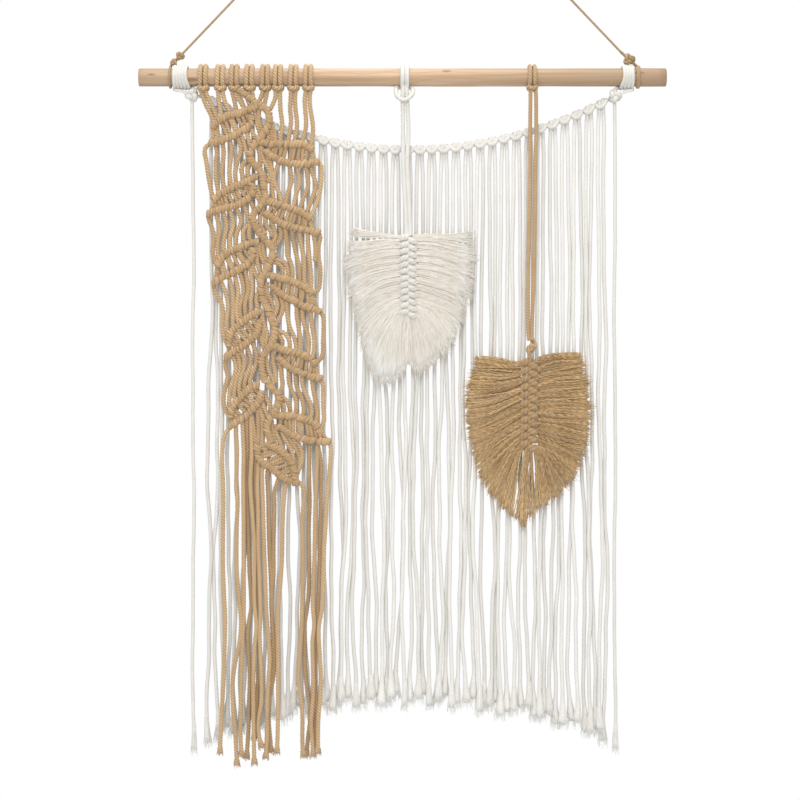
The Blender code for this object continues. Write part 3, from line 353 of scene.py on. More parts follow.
FRINGE = (
    # layer, and the cord from its root down to its end as x_mm, drop_mm
    ("front", ((-192.5, 395), (-200.5, 404.5), (-203, 412.5), (-204, 423.5), (-204.5, 436),
     (-203.5, 461.5), (-203, 482), (-203.5, 515), (-203.5, 557), (-202, 593), (-201, 617.5),
     (-202, 657.5), (-202.5, 680.5), (-204.5, 714.5), (-206, 744), (-207, 768))),
    ("front", ((-189, 392), (-188.5, 410), (-187.5, 423.5), (-188, 444.5), (-188.5, 466.5), (-187, 484),
     (-188, 515), (-188, 557), (-185.5, 589), (-183, 618.5), (-185, 644), (-189.5, 664.5),
     (-192.5, 688), (-192, 718), (-189.5, 745), (-187.5, 781.5))),
    ("front", ((-182, 387.5), (-181, 407), (-180, 430), (-180.5, 464), (-180, 504), (-180, 557.5),
     (-180, 606.5), (-182, 654), (-183, 686), (-183.5, 722.5), (-183.5, 752), (-182, 771.5))),
    ("back", ((-177, 385.5), (-176, 424), (-177, 451.5), (-176, 492.5), (-174.5, 538), (-173.5, 567.5),
     (-171, 595), (-173.5, 614), (-176, 631.5), (-175, 654), (-173.5, 681.5), (-174.5, 715.5),
     (-175, 740.5), (-177, 774.5))),
    ("front", ((-173, 379.5), (-171.5, 403.5), (-171, 431), (-172.5, 461.5), (-170.5, 492), (-168, 530),
     (-168, 563), (-168, 595), (-165.5, 623.5), (-167.5, 646), (-169, 680.5), (-169, 715.5),
     (-168.5, 748.5), (-168, 780))),
    ("front", ((-164, 430), (-164, 447), (-164.5, 463), (-163.5, 492.5), (-163.5, 532), (-162, 572),
     (-161, 608.5), (-162, 636), (-160, 674.5), (-160, 708.5), (-163, 729), (-163, 745),
     (-159.5, 761.5))),
    ("front", ((-158, 438), (-159.5, 448), (-159, 464), (-158, 492.5), (-157, 532), (-155.5, 572),
     (-154.5, 604), (-152.5, 631.5), (-150.5, 661), (-152, 686), (-153.5, 714.5), (-153.5, 748.5),
     (-155, 773.5))),
    ("back", ((-151.5, 441.5), (-153.5, 452.5), (-152.5, 475.5), (-152, 506), (-151, 538),
     (-149.5, 572), (-148.5, 608.5), (-147.5, 646), (-149.5, 672.5), (-151, 703), (-152, 729),
     (-150, 754.5), (-149.5, 768))),
    ("back", ((-139.5, 453.5), (-143, 463.5), (-145.5, 473), (-145.5, 494.5), (-146.5, 532),
     (-146.5, 566.5), (-149, 595), (-147, 629), (-145, 654), (-146.5, 680), (-151, 705), (-154, 735),
     (-153.5, 758))),
    ("front", ((-131, 458), (-133, 466.5), (-135, 487), (-136, 509.5), (-136.5, 543), (-138, 570),
     (-140.5, 598), (-141.5, 623.5), (-141, 663), (-141, 708.5), (-141.5, 746.5), (-142.5, 768))),
    ("front", ((-122.5, 460), (-116.5, 461.5), (-112.5, 467), (-111, 475.5), (-112.5, 488),
     (-113.5, 513), (-113, 549.5), (-113.5, 589), (-114.5, 626.5), (-116.5, 657.5), (-118, 683.5),
     (-116, 699.5), (-113.5, 722.5), (-113.5, 752), (-112.5, 771.5))),
    ("back", ((-105.5, 414), (-106, 438), (-106, 460.5), (-105.5, 484.5), (-106.5, 515), (-106, 557.5),
     (-106.5, 586), (-108.5, 604), (-111, 622), (-111, 646), (-111, 667.5), (-109, 690.5),
     (-105.5, 713.5), (-105, 731.5), (-107.5, 752), (-109, 772.5))),
    ("front", ((-97, 415), (-97, 438), (-98, 464), (-99, 498), (-99.5, 538), (-101, 572),
     (-101.5, 601.5), (-100, 622), (-102, 641.5), (-101.5, 669), (-101, 690.5), (-102, 712),
     (-103.5, 734), (-102, 756.5), (-101, 771.5))),
    ("front", ((-84, 414.5), (-81.5, 420), (-81.5, 433), (-83, 452.5), (-85.5, 477.5), (-87, 506),
     (-89, 538), (-89.5, 572), (-91, 601.5), (-94.5, 621), (-95, 633.5), (-93.5, 661), (-92.5, 679),
     (-93.5, 708.5), (-95.5, 731.5), (-96, 768))),
    ("back", ((-166, 426.5), (-167, 447), (-167, 481), (-165, 526.5), (-165, 572), (-164, 617.5),
     (-162.5, 663), (-165, 697.5), (-166.5, 726), (-168.5, 752))),
    ("back", ((-97, 414.5), (-93, 435.5), (-92.5, 464), (-93, 494.5), (-94, 526.5), (-94.5, 566.5),
     (-95.5, 595), (-97.5, 620), (-99, 646), (-98.5, 697.5), (-99.5, 743), (-99, 765.5))),
)

# White curtain
CURTAIN_HEADS = 33
CURTAIN_FIRST_X = -214.6
CURTAIN_PITCH = 13.78
SAG_DROP = 82.0                # of the carrier's lowest point
SAG_CENTRE_X = 8.5
SAG_BEND = 0.0011085
STRAND_SPREAD = 2.6            # from a head's middle to its strands, at the head
STRAND_HALF_PITCH = 3.4        # and below it
STRAND_PARTING = 0.5           # and how much more halfway down
STRAND_SWAY = 2.2
STRAND_SWAYS = 0.9             # waves of it down a strand
STRAND_SPLAY = 4.5             # of the outermost strands' ends
ARCH_DROP = 709.0              # of the curtain's ends in its middle
ARCH_RISE = 46.0               # how much lower they are at its sides
ARCH_HALF_WIDTH = 226.0
ARCH_UNEVEN = 8.0
LASHING_RADIUS = 2.3
LASHING_STEP = 1.3
# the lashings' tone, below the white cotton's darkest: painted shade
LASHING_SHADE_TONE = -0.45
KNOT_CORD_RADIUS = 3.1
LASHINGS = (
    # x_mm where the turns start and stop, number of turns, x_mm and drop_mm of the knot below
    (-262.3, -242.0, 5, -239.6, 20.5),
    (264.4, 247.6, 4, 241.6, 21.5),
)
TAIL_ENDS = (766.0, 764.0)
TAIL_DEPTH = 2.2
TAIL_WIDE = 3.6                # radius to which the tails open
TAIL_OPENING = 26.0            # length over which they do
TAIL_SWAY = (0.6, 160.0)       # size, and the length over which it grows
TAIL_STEP = 3.2
TAIL_SEED = 40                 # of the first tail's chances, and of the first strand's
STRAND_SEED = 500
STRAND_FIRST_DROP = 11.0       # from the carrier down to a strand's start
STRAND_POINTS = 120
PARTING_LENGTH = 18.0          # over which twin strands part sideways
SETTLING_LENGTH = 70.0         # over which they part in depth
ENDS_WIDE = (4.1, 3.2)         # the least radius to which strands open, and the most added
ENDS_OPENING = 36.0
END_FIBRES = 40
CURTAIN_SWAY = (1.7, 340.0)
CARRIER_OVERRUN = 9.0          # from the last head on to where the carrier turns up
CARRIER_STEP = 1.2
UNEVEN_SHARE = 0.7548776662    # steps of these spread evenly over a whole
PHASE_SHARE = 0.6180339887

# Hanger cord
HANGER_SIDES = (
    # x_mm where the turns start and stop, and their number; x_mm, drop_mm of the knot's outer
    # and inner end; its lumps: share of the way in, half width, cord radius and turn; and the
    # length of the cord's stub
    ((-266.0, -262.7, 1), (-262.6, -15.0), (-250.0, -27.6),
     ((0.18, 2.7, 1.9, 0.4), (0.74, 3.5, 2.1, -0.5)), 0.0),
    ((271.0, 264.8, 2), (264.6, -14.5), (248.5, -29.0), ((0.42, 5.0, 2.5, 0.35),), 8.0),
)
HOOK_HALF = 2.6                # from the hook's middle to each leg's top
HOOK_FALL = 2.2                # from the hook down to there
TWINE_STEP = 0.9
STUB_RADIUS = 1.2

# Feathers
FEATHERS = {
    # name: spine as x_mm, drop_mm at its top and bottom; left and right outlines from the
    # top corner round to the middle of the lower edge, as x_mm, drop_mm
    "white_feather": (
        ((7.0, 180.0), (7.0, 274.0)),
        ((-57.5, 170.5), (-66.5, 219.0), (-54.5, 274.0), (-37.5, 333.0), (-24.5, 350.0),
         (-5.0, 341.0), (8.0, 320.0)),
        ((80.0, 176.0), (81.5, 209.0), (77.5, 248.0), (54.0, 307.0), (19.5, 335.5),
         (5.0, 320.0)),
    ),
    "tan_feather": (
        ((144.5, 320.5), (143.5, 425.0)),
        ((83.0, 316.5), (72.0, 357.0), (72.0, 400.0), (89.0, 457.0), (113.5, 492.0),
         (140.5, 513.0)),
        ((203.0, 312.5), (213.5, 360.0), (211.0, 415.0), (190.5, 463.0), (161.5, 487.5),
         (133.5, 513.0)),
    ),
}
SPINE_ROWS = {"white_feather": 12, "tan_feather": 11}
SPINE_SINK = 0.8               # from the spine's middle to where its relief is measured from
SPINE_SIDES = 12
SPINE_LEFT = (
    # x_mm, drop_mm, depth_mm from the middle of the spine, and the lump's radius in pitches
    (-9.6, 2.6, 1.5, 0.30), (-7.8, 1.2, -0.4, 0.42), (-5.4, 0.2, -1.4, 0.49), (-3.0, -0.6, -1.5, 0.49),
    (-0.8, -1.4, -0.6, 0.42), (1.2, -2.0, 1.6, 0.30),
)
SPINE_RIGHT = (
    (-1.6, -3.0, 1.6, 0.28), (0.2, -1.8, -0.8, 0.40), (2.4, -0.6, -2.0, 0.47), (4.6, 0.6, -1.9, 0.47),
    (6.6, 1.6, -0.6, 0.40), (8.6, 2.4, 1.6, 0.28),
)
BRUSHED = {
    # at_outline, at_spine: shares of the way down the outline and the spine that yarns join,
    # the latter for the left and for the right
    # rise, out, fall: where a yarn heads from its root, and how far out and down it turns to
    # its tip, the fall for yarns at the top, the middle and the foot
    # locks, clump: the locks of a side, and how far a yarn is drawn to its lock's middle
    # sway: how far a lock bends to and fro, in mm
    # crimp_length, crimp: the length of a yarn's turn and the radius of it, in mm
    # reach: the share of the way to the outline that the shortest yarn goes
    # gaps: the outline shares without yarns, left and right
    # slits: the outline shares where yarns part halfway down, and how far in mm
    # fleece, fleece_tone, ripple: the outline shares with an inner sheet, its tone, and the
    # height of its waves in mm
    # gather: how far roots are drawn to the spine's lumps
    # count, steps, radius, taper: yarns of a side, points along each, the radius in mm, and
    # the share of it that is lost to the tip
    # deep, fade: how thick the layer of yarns is in mm, and how much their tones differ
    # back: yarns of a side behind the fleece
    "white_feather": {
        "at_outline": (0.0, 0.125, 0.31, 0.51, 0.71, 1.0),
        "at_spine": ((0.0, 0.10, 0.42, 0.76, 0.90, 1.0), (0.0, 0.10, 0.42, 0.76, 0.90, 1.0)),
        "rise": 0.04, "out": 0.62, "fall": (0.25, 0.25, 0.30), "locks": 23, "clump": 0.08, "sway": 1.0,
        "crimp_length": 12.0, "reach": 0.90, "gaps": (((0.046, 0.070),), ((0.069, 0.078),)),
        "slits": (((0.90, 0.9),), ((0.93, 1.3),)),
        "fleece": (((0.0, 0.044), (0.072, 0.985)), ((0.0, 0.067), (0.079, 0.985))),
        "fleece_tone": 0.6, "ripple": 0.12, "gather": 0.2, "count": 860, "steps": 12,
        "radius": 0.40, "crimp": 0.25, "deep": 0.7, "taper": 0.3, "fade": 0.5, "back": 260,
    },
    "tan_feather": {
        "at_outline": (0.0, 0.05, 0.12, 0.27, 0.45, 0.60, 0.80, 1.0),
        "at_spine": ((0.0, 0.07, 0.16, 0.33, 0.62, 0.80, 0.94, 1.0),
                     (0.0, 0.14, 0.28, 0.54, 0.77, 0.94, 0.99, 1.0)),
        "rise": 0.62, "out": 0.58, "fall": (0.95, 0.80, 0.35), "locks": 38, "clump": 0.12, "sway": 0.9,
        "crimp_length": 8.5, "reach": 0.90, "gaps": (((0.025, 0.030),), ((0.055, 0.060),)),
        "slits": (((0.915, 2.6),), ((0.90, 2.6), (0.965, 1.7))),
        "fleece": (((0.0, 0.90),), ((0.0, 0.88),)),
        "fleece_tone": 0.0, "ripple": 0.4, "gather": 0.5, "count": 390, "steps": 26,
        "radius": 0.56, "crimp": 0.55, "deep": 2.4, "taper": 0.25, "fade": 0.9, "back": 240,
    },
}
SLIT_REACH = 0.03              # outline share over which a parting dies away
EDGE_POINTS = 400              # along an outline
FLEECE_POINTS = (300, 12)      # along a whole outline, and from the spine to the edge
FLEECE_START = 0.13            # share of a yarn's way at which the inner sheet begins
FLEECE_THICKNESS = 1.4
BACK_STEPS = 9
BACK_RADIUS = 0.65
OPENED_TIP = (0.4, 1.0)        # how far a tip's loose fibre is from the yarn, and comes to be
WHITE_HEAD_X = 2.6
TAN_HEAD_X = 147.5
TAN_HEAD_ROOM = 2.75           # from the rod to the middle of the head's cord
TAN_LEG_RADIUS = 2.6
TAN_KNOT_RADIUS = 2.7
TAN_CORD_STEP = 1.0
TAN_LEG_TOP_DEPTH = -8.5
WHITE_LEG_TOP_DEPTH = -8.6
WHITE_LEG_RADII = ((14.0, 24.0, 60.0, 82.0), (2.85, 2.6, 2.35, 2.8))     # at these drops
LOOSE_HEAD_ANGLES = (-48.0, -20.0, 10.0, 45.0, 80.0, 115.0, 150.0, 185.0, 215.0, 242.0)
WHITE_LEGS = (
    # x_mm, drop_mm from the spine up to the rod, for the left and the right cord
    ((4.6, 181.0), (3.4, 150.0), (1.8, 120.0), (0.6, 92.0),
     (0.6, 60.0), (0.2, 36.0), (0.2, 24.0), (0.6, 14.0)),
    ((8.8, 181.0), (7.8, 150.0), (6.2, 120.0), (5.3, 92.0),
     (6.9, 64.0), (5.8, 36.0), (5.2, 24.0), (4.6, 14.0)),
)
WHITE_SLACK = (
    # x_mm from the head, drop_mm, depth_mm of the loose bight in front of the cords
    (-7.0, 10.6, 3.0), (-9.6, 12.0, -3.0), (-10.0, 16.0, -8.0), (-9.0, 22.0, -11.5), (-4.6, 26.6, -13.2),
    (1.4, 27.0, -14.2), (5.6, 24.4, -13.6), (8.6, 20.4, -11.4), (9.0, 15.0, -7.0),
    (7.4, 12.0, -2.0), (5.4, 10.8, 3.0),
)
TAN_LEGS = (
    # x_mm, drop_mm from the rod down to the knot, for the left and the right cord
    ((145.2, 20.0), (144.8, 60.0), (144.6, 100.0), (144.2, 150.0),
     (143.0, 200.0), (142.4, 250.0), (142.4, 285.0), (143.6, 300.0)),
    ((151.4, 20.0), (151.6, 60.0), (150.8, 100.0), (150.2, 150.0),
     (149.2, 200.0), (148.0, 250.0), (146.8, 285.0), (146.6, 300.0)),
)
TAN_KNOT = (
    # x_mm, drop_mm and depth_mm of the overhand knot above the tan feather, down to its spine
    (146.0, 296.0, -8.0), (149.0, 301.0, -6.5), (150.8, 304.5, -8.5), (149.5, 307.0, -11.5),
    (146.5, 305.8, -13.8), (143.4, 306.8, -13.4), (142.2, 310.0, -11.0),
    (143.5, 312.8, -7.0), (147.0, 311.5, -6.0),
    (148.0, 309.5, -9.5), (145.8, 309.2, -13.6), (143.4, 311.6, -13.6),
    (143.6, 316.0, -11.0), (144.2, 323.0, -9.5),
)

# Camera
PICTURE_WIDTH = 910.8          # mm across the frame, at the object
LENS = 100.0
SENSOR = 36.0
AIM_X = -2.85
AIM_DROP = 367.2

noise = np.random.default_rng(11)


# ---------------------------------------------------------------- shapes


def smooth(points, step):
    """Return points about step apart on a smooth curve through the given ones.

    Between two given points the curve is the cubic whose slope at each is half the way from
    the point before it to the point after it. Its points are then spaced evenly by length.
    """
    knots = np.asarray(points, dtype=float)
    knots = np.vstack([2 * knots[0] - knots[1], knots, 2 * knots[-1] - knots[-2]])
    t = np.linspace(0.0, 1.0, SPAN_POINTS, endpoint=False)[:, None, None]
    before, start, stop, after = knots[:-3], knots[1:-2], knots[2:-1], knots[3:]
    bend = 2 * before - 5 * start + 4 * stop - after
    twist = 3 * start - before - 3 * stop + after
    fine = 0.5 * (2 * start + (stop - before) * t + bend * t**2 + twist * t**3)
    fine = np.vstack([fine.transpose(1, 0, 2).reshape(-1, knots.shape[1]), knots[-2]])
    lengths = np.concatenate([[0.0], np.cumsum(np.linalg.norm(np.diff(fine, axis=0), axis=1))])
    count = max(4, round(lengths[-1] / step) + 1)
    wanted = np.linspace(0.0, lengths[-1], count)
    return np.column_stack([np.interp(wanted, lengths, column) for column in fine.T])


def along(route, shares):
    """Return the points at the given shares of the length of a smooth route."""
    fine = smooth(route, FINE_STEP)
    return np.column_stack([np.interp(shares, np.linspace(0, 1, len(fine)), c) for c in fine.T])


def level(points, depth):
    """Return points of x and drop with a depth put to each."""
    points = np.atleast_2d(points)
    return np.column_stack([points, np.broadcast_to(depth, len(points))])


def unit(vectors):
    """Return vectors of the same directions and of length one."""
    return vectors / np.maximum(np.linalg.norm(vectors, axis=-1, keepdims=True), 1e-9)


def carried(paths):
    """Return two directions square to each path, carried along it without turning about it.

    Each is mirrored in the plane midway between two points of its path, and then in the
    plane that brings the mirrored heading to the next one.
    """
    headings = unit(np.gradient(paths, axis=1))
    across = np.empty_like(headings)
    first = headings[:, 0]
    axis = np.eye(3)[np.argmin(np.abs(first), axis=1)]
    across[:, 0] = unit(axis - np.sum(axis * first, axis=1, keepdims=True) * first)
    for index in range(paths.shape[1] - 1):
        step = paths[:, index + 1] - paths[:, index]
        size = np.maximum(np.sum(step**2, axis=1, keepdims=True), 1e-12)
        turned = across[:, index] - 2 * np.sum(step * across[:, index], 1, keepdims=True) / size * step
        heading = headings[:, index] - 2 * np.sum(step * headings[:, index], 1, keepdims=True) / size * step
        change = headings[:, index + 1] - heading
        size = np.maximum(np.sum(change**2, axis=1, keepdims=True), 1e-12)
        across[:, index + 1] = turned - 2 * np.sum(change * turned, 1, keepdims=True) / size * change
    across = unit(across - np.sum(across * headings, axis=2, keepdims=True) * headings)
    return across, np.cross(headings, across)


class Bundle:
    """Tubes gathered for one mesh, with a UV for each corner and a tone for each tube."""

    def __init__(self):
        self.points = []
        self.corners = []
        self.sizes = []
        self.uvs = []
        self.tones = []
        self.count = 0

    def sweep(self, paths, radii, sides, lay=None, groove=0.0, closed=False, tones=None):
        """Carry a ring of points along each path.

        A point at angle a of a ring lies at the path's point, plus the radius times the
        cosine of a along one direction square to the path and its sine along the other.
        With a lay, the ring turns once left-handed in about that length, and the radius is less
        by the groove where two plies meet. U goes once round the ring and V is the length in
        centimetres.
        """
        paths = np.asarray(paths, dtype=float)
        if paths.ndim == 2:
            paths = paths[None]
        tubes, steps, _ = paths.shape
        radii = np.broadcast_to(radii, (tubes, steps))
        across, beside = carried(paths)
        gaps = np.linalg.norm(np.roll(paths, -1, axis=1) - paths, axis=2)
        lengths = np.concatenate([np.zeros((tubes, 1)), np.cumsum(gaps[:, :-1], axis=1)], axis=1)
        turns = np.zeros((tubes, steps))
        if lay:
            whole = gaps.sum(axis=1, keepdims=True)
            turns = lengths / whole * np.round(whole / lay) if closed else lengths / lay
        angles = np.arange(sides) * TAU / sides
        turned = angles - TAU * turns[..., None]
        reach = radii[..., None] * (1.0 - groove * 0.5 * (1.0 + np.cos(PLIES * angles)))
        rings = paths[:, :, None] + reach[..., None] * (
            np.cos(turned)[..., None] * across[:, :, None] + np.sin(turned)[..., None] * beside[:, :, None]
        )
        grid = np.arange(tubes * steps * sides).reshape(tubes, steps, sides) + self.count
        v = 0.1 * lengths
        if closed:
            grid = np.concatenate([grid, grid[:, :1]], axis=1)
            v = np.concatenate([v, v[:, -1:] + v[:, 1:2]], axis=1)
        beyond = np.roll(grid, -1, axis=2)
        quads = np.stack([grid[:, :-1], beyond[:, :-1], beyond[:, 1:], grid[:, 1:]], axis=-1)
        u = np.broadcast_to(np.arange(sides) / sides, quads.shape[:3])
        low = np.broadcast_to(v[:, :-1, None], u.shape)
        high = np.broadcast_to(v[:, 1:, None], u.shape)
        us = np.stack([u, u + 1.0 / sides, u + 1.0 / sides, u], axis=-1)
        vs = np.stack([low, low, high, high], axis=-1)
        self.add_faces(quads.reshape(-1, 4), np.stack([us, vs], axis=-1).reshape(-1, 2))
        if not closed:
            ends = np.concatenate([grid[:, 0, ::-1], grid[:, -1]])
            end_v = np.repeat(np.concatenate([v[:, 0], v[:, -1]]), sides)
            self.add_faces(ends, np.column_stack([np.full(len(end_v), 0.5), end_v]))
        if tones is None:
            tones = noise.random(tubes)
        self.points.append(rings.reshape(-1, 3))
        self.tones.append(np.repeat(np.broadcast_to(tones, tubes), steps * sides))
        self.count += tubes * steps * sides

    def add_faces(self, faces, uvs):
        """Keep faces of one size, as rows of point numbers, with a UV for each corner."""
        self.corners.append(faces.ravel())
        self.sizes.append(np.full(len(faces), faces.shape[1]))
        self.uvs.append(uvs)

    def sheet(self, grid, lengths, thickness, tones):
        """Add a closed sheet over a grid of points: its front, its back and the rim.

        The front is the grid moved away from the wall by half the thickness, and the back is
        it moved in by as much. U runs down the rows, and V is the length given.
        """
        rows, columns, _ = grid.shape
        number = np.arange(rows * columns).reshape(rows, columns) + self.count
        back = rows * columns
        front = np.stack([number[:-1, :-1], number[1:, :-1], number[1:, 1:], number[:-1, 1:]], axis=-1)
        rim = np.concatenate([number[:-1, 0], number[-1, :-1], number[:0:-1, -1], number[0, :0:-1]])
        onward = np.roll(rim, -1)
        faces = np.concatenate([
            front.reshape(-1, 4),
            front[..., ::-1].reshape(-1, 4) + back,
            np.stack([onward, rim, rim + back, onward + back], axis=-1),
        ])
        u = np.repeat(np.arange(rows) / rows, columns)
        place = np.tile(np.column_stack([u, 0.1 * lengths.ravel()]), (2, 1))
        self.add_faces(faces, place[faces.ravel() - self.count])
        lift = 0.5 * thickness * np.array((0.0, 0.0, 1.0))
        self.points.append(np.vstack([(grid - lift).reshape(-1, 3), (grid + lift).reshape(-1, 3)]))
        self.tones.append(np.tile(np.repeat(tones, columns), 2))
        self.count += 2 * back

    def rope(self, points, radius, lay, step=ROPE_STEP):
        """Sweep one three-ply rope along a smooth route."""
        self.sweep(smooth(points, step), radius, PLY_SIDES, lay, GROOVE)

    def dress(self, name, material, slot, *nodes):
        """Make the tubes one object in its place, riding on the root for its CAD nodes."""
        x, drop, depth = np.vstack(self.points).T
        places = np.column_stack([x, depth, -(ROD_DROP + drop)]) * MM
        mesh = bpy.data.meshes.new(name)
        mesh.vertices.add(len(places))
        mesh.vertices.foreach_set("co", places.astype(np.float32).ravel())
        corners = np.concatenate(self.corners)
        sizes = np.concatenate(self.sizes)
        mesh.loops.add(len(corners))
        mesh.loops.foreach_set("vertex_index", corners.astype(np.int32))
        mesh.polygons.add(len(sizes))
        mesh.polygons.foreach_set("loop_start", (np.cumsum(sizes) - sizes).astype(np.int32))
        mesh.update(calc_edges=True)
        layer = mesh.uv_layers.new(name="UVMap")
        layer.data.foreach_set("uv", np.vstack(self.uvs).astype(np.float32).ravel())
        tone = mesh.attributes.new("tone", "FLOAT", "POINT")
        tone.data.foreach_set("value", np.concatenate(self.tones).astype(np.float32))
        mesh.shade_smooth()
        mesh.materials.append(material)
        piece = bpy.data.objects.new(name, mesh)
        bpy.context.scene.collection.objects.link(piece)
        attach(piece, "root")
        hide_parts(*nodes)
        return piece


def swayed(path, size, full, seed):
    """Bend a hanging path to and fro by sine waves, which grow down to their full size.

    A wave's size is its share of the given one, times 0.5 to 1.5 by chance, and it starts at
    a chance place. The waves in depth are smaller.
    """
    chance = np.random.default_rng(seed)
    down = path[:, 1] - path[0, 1]
    ramp = np.clip(down / full, 0.0, 1.0)
    moved = path.copy()
    for wave, share in SWAY_WAVES:
        for column, part in ((0, 1.0), (2, SWAY_IN_DEPTH)):
            phase = chance.random() * TAU
            amount = size * share * part * (0.5 + chance.random())
            moved[:, column] += amount * ramp * (np.sin(TAU * down / wave + phase) - math.sin(phase))
    return moved


def widening(path, radius, wide, length):
    """Return a cord's radii, which grow from its own to the wide and close at its very end.

    They grow by a power of the way along the given length, and over the last eighth or so
    of it they are drawn in to 0.4 of that.
    """
    away = np.linalg.norm(path - path[-1], axis=1)
    share = np.clip(1.0 - away / length, 0.0, 1.0)
    closing = np.clip(0.4 + 0.6 * away / (0.12 * length), 0.0, 1.0)
    return (radius + (wide - radius) * share**OPENING_BEND) * closing


def frayed(bundle, ends, headings, radii, parts, length, beyond, thickness, tones=None):
    """Lay loose fibres round the ends of cords.

    A fibre starts about the length before its cord's end and runs a chance way beyond it. Its
    distance from the cord's middle goes from the first radius towards the second by a power
    of the way along it, mostly near the full way. It is bent by half a sine wave of chance
    size. Each radius may differ from cord to cord.
    """
    count = len(ends) * parts
    roots = np.repeat(ends, parts, axis=0)
    ahead = np.repeat(unit(headings), parts, axis=0)
    side = unit(np.cross(ahead, [0.0, 0.0, 1.0]))
    front = np.cross(ahead, side)
    turns = np.tile(np.arange(parts), len(ends)) * FIBRE_TURN
    angle = TAU * (turns + 0.25 * noise.random(count))
    long = length * (0.75 + 0.25 * noise.random(count)) + beyond * noise.random(count)
    share = np.linspace(0.0, 1.0, 4)[None, :, None]
    first, second = (
        np.repeat(np.broadcast_to(radius, len(ends)), parts)[:, None, None] for radius in radii
    )
    part = 1.15 * noise.random(count)[:, None, None] ** 0.25 - 0.05
    reach = first - 0.1 + part * (second - first) * share**OPENING_BEND
    angle = angle[:, None, None]
    section = np.cos(angle) * side[:, None] + np.sin(angle) * front[:, None]
    curl = (noise.random(count)[:, None, None] - 0.5) * 1.6 * np.sin(math.pi * share)
    paths = roots[:, None] + ahead[:, None] * (share * long[:, None, None] - 0.85 * length)
    paths = paths + section * reach + curl * side[:, None]
    bundle.sweep(paths, thickness * (1.0 - 0.5 * share[..., 0]), 3, tones=tones)


def trefoil(centre, size, squash, turn):
    """Return the closed path of an overhand knot drawn tight.

    Its points are sin t + 2 sin 2t across, cos t - 2 cos 2t down and -sin 3t deep, scaled,
    squashed in depth and turned in the picture plane.
    """
    t = np.linspace(0.0, TAU, 40, endpoint=False)
    x = np.sin(t) + 2.0 * np.sin(2 * t)
    y = np.cos(t) - 2.0 * np.cos(2 * t)
    z = -squash * np.sin(3 * t)
    across = x * math.cos(turn) - y * math.sin(turn)
    down = x * math.sin(turn) + y * math.cos(turn)
    return np.asarray(centre) + np.column_stack([across, down, z]) * size / 3.0


# ---------------------------------------------------------------- materials


def shader_of(name, roughness, sheen):
    """Start a material, and return it with its nodes, its links and its main shader."""
    material = bpy.data.materials.new(name)
    material.use_nodes = True
    shader = material.node_tree.nodes["Principled BSDF"]
    shader.inputs["Roughness"].default_value = roughness
    shader.inputs["Sheen Weight"].default_value = sheen
    shader.inputs["Sheen Roughness"].default_value = 0.6
    shader.inputs["Specular IOR Level"].default_value = 0.15
    return material, material.node_tree.nodes, material.node_tree.links, shader


def node(nodes, kind, **values):
    """Add a shader node, with its properties and, by name, its sockets' values."""
    made = nodes.new(kind)
    for key, value in values.items():
        if key in made.bl_rna.properties:
            setattr(made, key, value)
        else:
            made.inputs[key.replace("_", " ")].default_value = value
    return made


def maths(nodes, links, operation, first, second=0.0):
    """Add a sum on one or two numbers or sockets, and return its result's socket."""
    made = nodes.new("ShaderNodeMath")
    made.operation = operation
    for index, value in enumerate((first, second)):
        if isinstance(value, (int, float)):
            made.inputs[index].default_value = value
        else:
            links.new(value, made.inputs[index])
    return made.outputs[0]


def blend_colours(nodes, links, factor, first, second):
    """Add a blend from the first colour to the second by a factor, and return its socket."""
    made = nodes.new("ShaderNodeMix")
    made.data_type = "RGBA"
    links.new(factor, made.inputs[0])
    for index, value in ((6, first), (7, second)):
        if isinstance(value, tuple):
            made.inputs[index].default_value = (*value, 1.0)
        else:
            links.new(value, made.inputs[index])
    return made.outputs[2]


ROPE_COTTONS = {
    # the material's name; its light and dark colours, and the painted shade colour of its grooves;
    # the lay in mm of plies that are drawn here, or 0 where they are in the mesh; and how far the plies are
    # raised
    "tan": ("tan_twisted_cotton", (0.635, 0.445, 0.25), (0.43, 0.277, 0.14),
            (0.25, 0.155, 0.073), 0, 0.5),
    # the hitched bars: a darker copy of the tan cotton, painted shade among the packed hitches
    "hitched": ("tan_hitched_cotton_shaded", (0.545, 0.368, 0.197), (0.35, 0.22, 0.106),
                (0.33, 0.21, 0.10), 0, 0.3),
    "white": ("white_twisted_cotton", (0.78, 0.76, 0.72), (0.57, 0.55, 0.505),
              (0.66, 0.635, 0.59), WHITE_LAY, 0.2),
    "pale_plait": ("pale_plaited_cotton", (0.67, 0.64, 0.595), (0.57, 0.545, 0.495),
                   (0.53, 0.50, 0.45), 0, 0.1),
    "golden_plait": ("golden_plaited_cotton", (0.43, 0.28, 0.14), (0.31, 0.195, 0.09),
                     (0.24, 0.15, 0.065), 0, 0.1),
    "twine": ("golden_twine", (0.50, 0.345, 0.185), (0.33, 0.21, 0.095),
              (0.20, 0.12, 0.05), 0, 0.6),
}


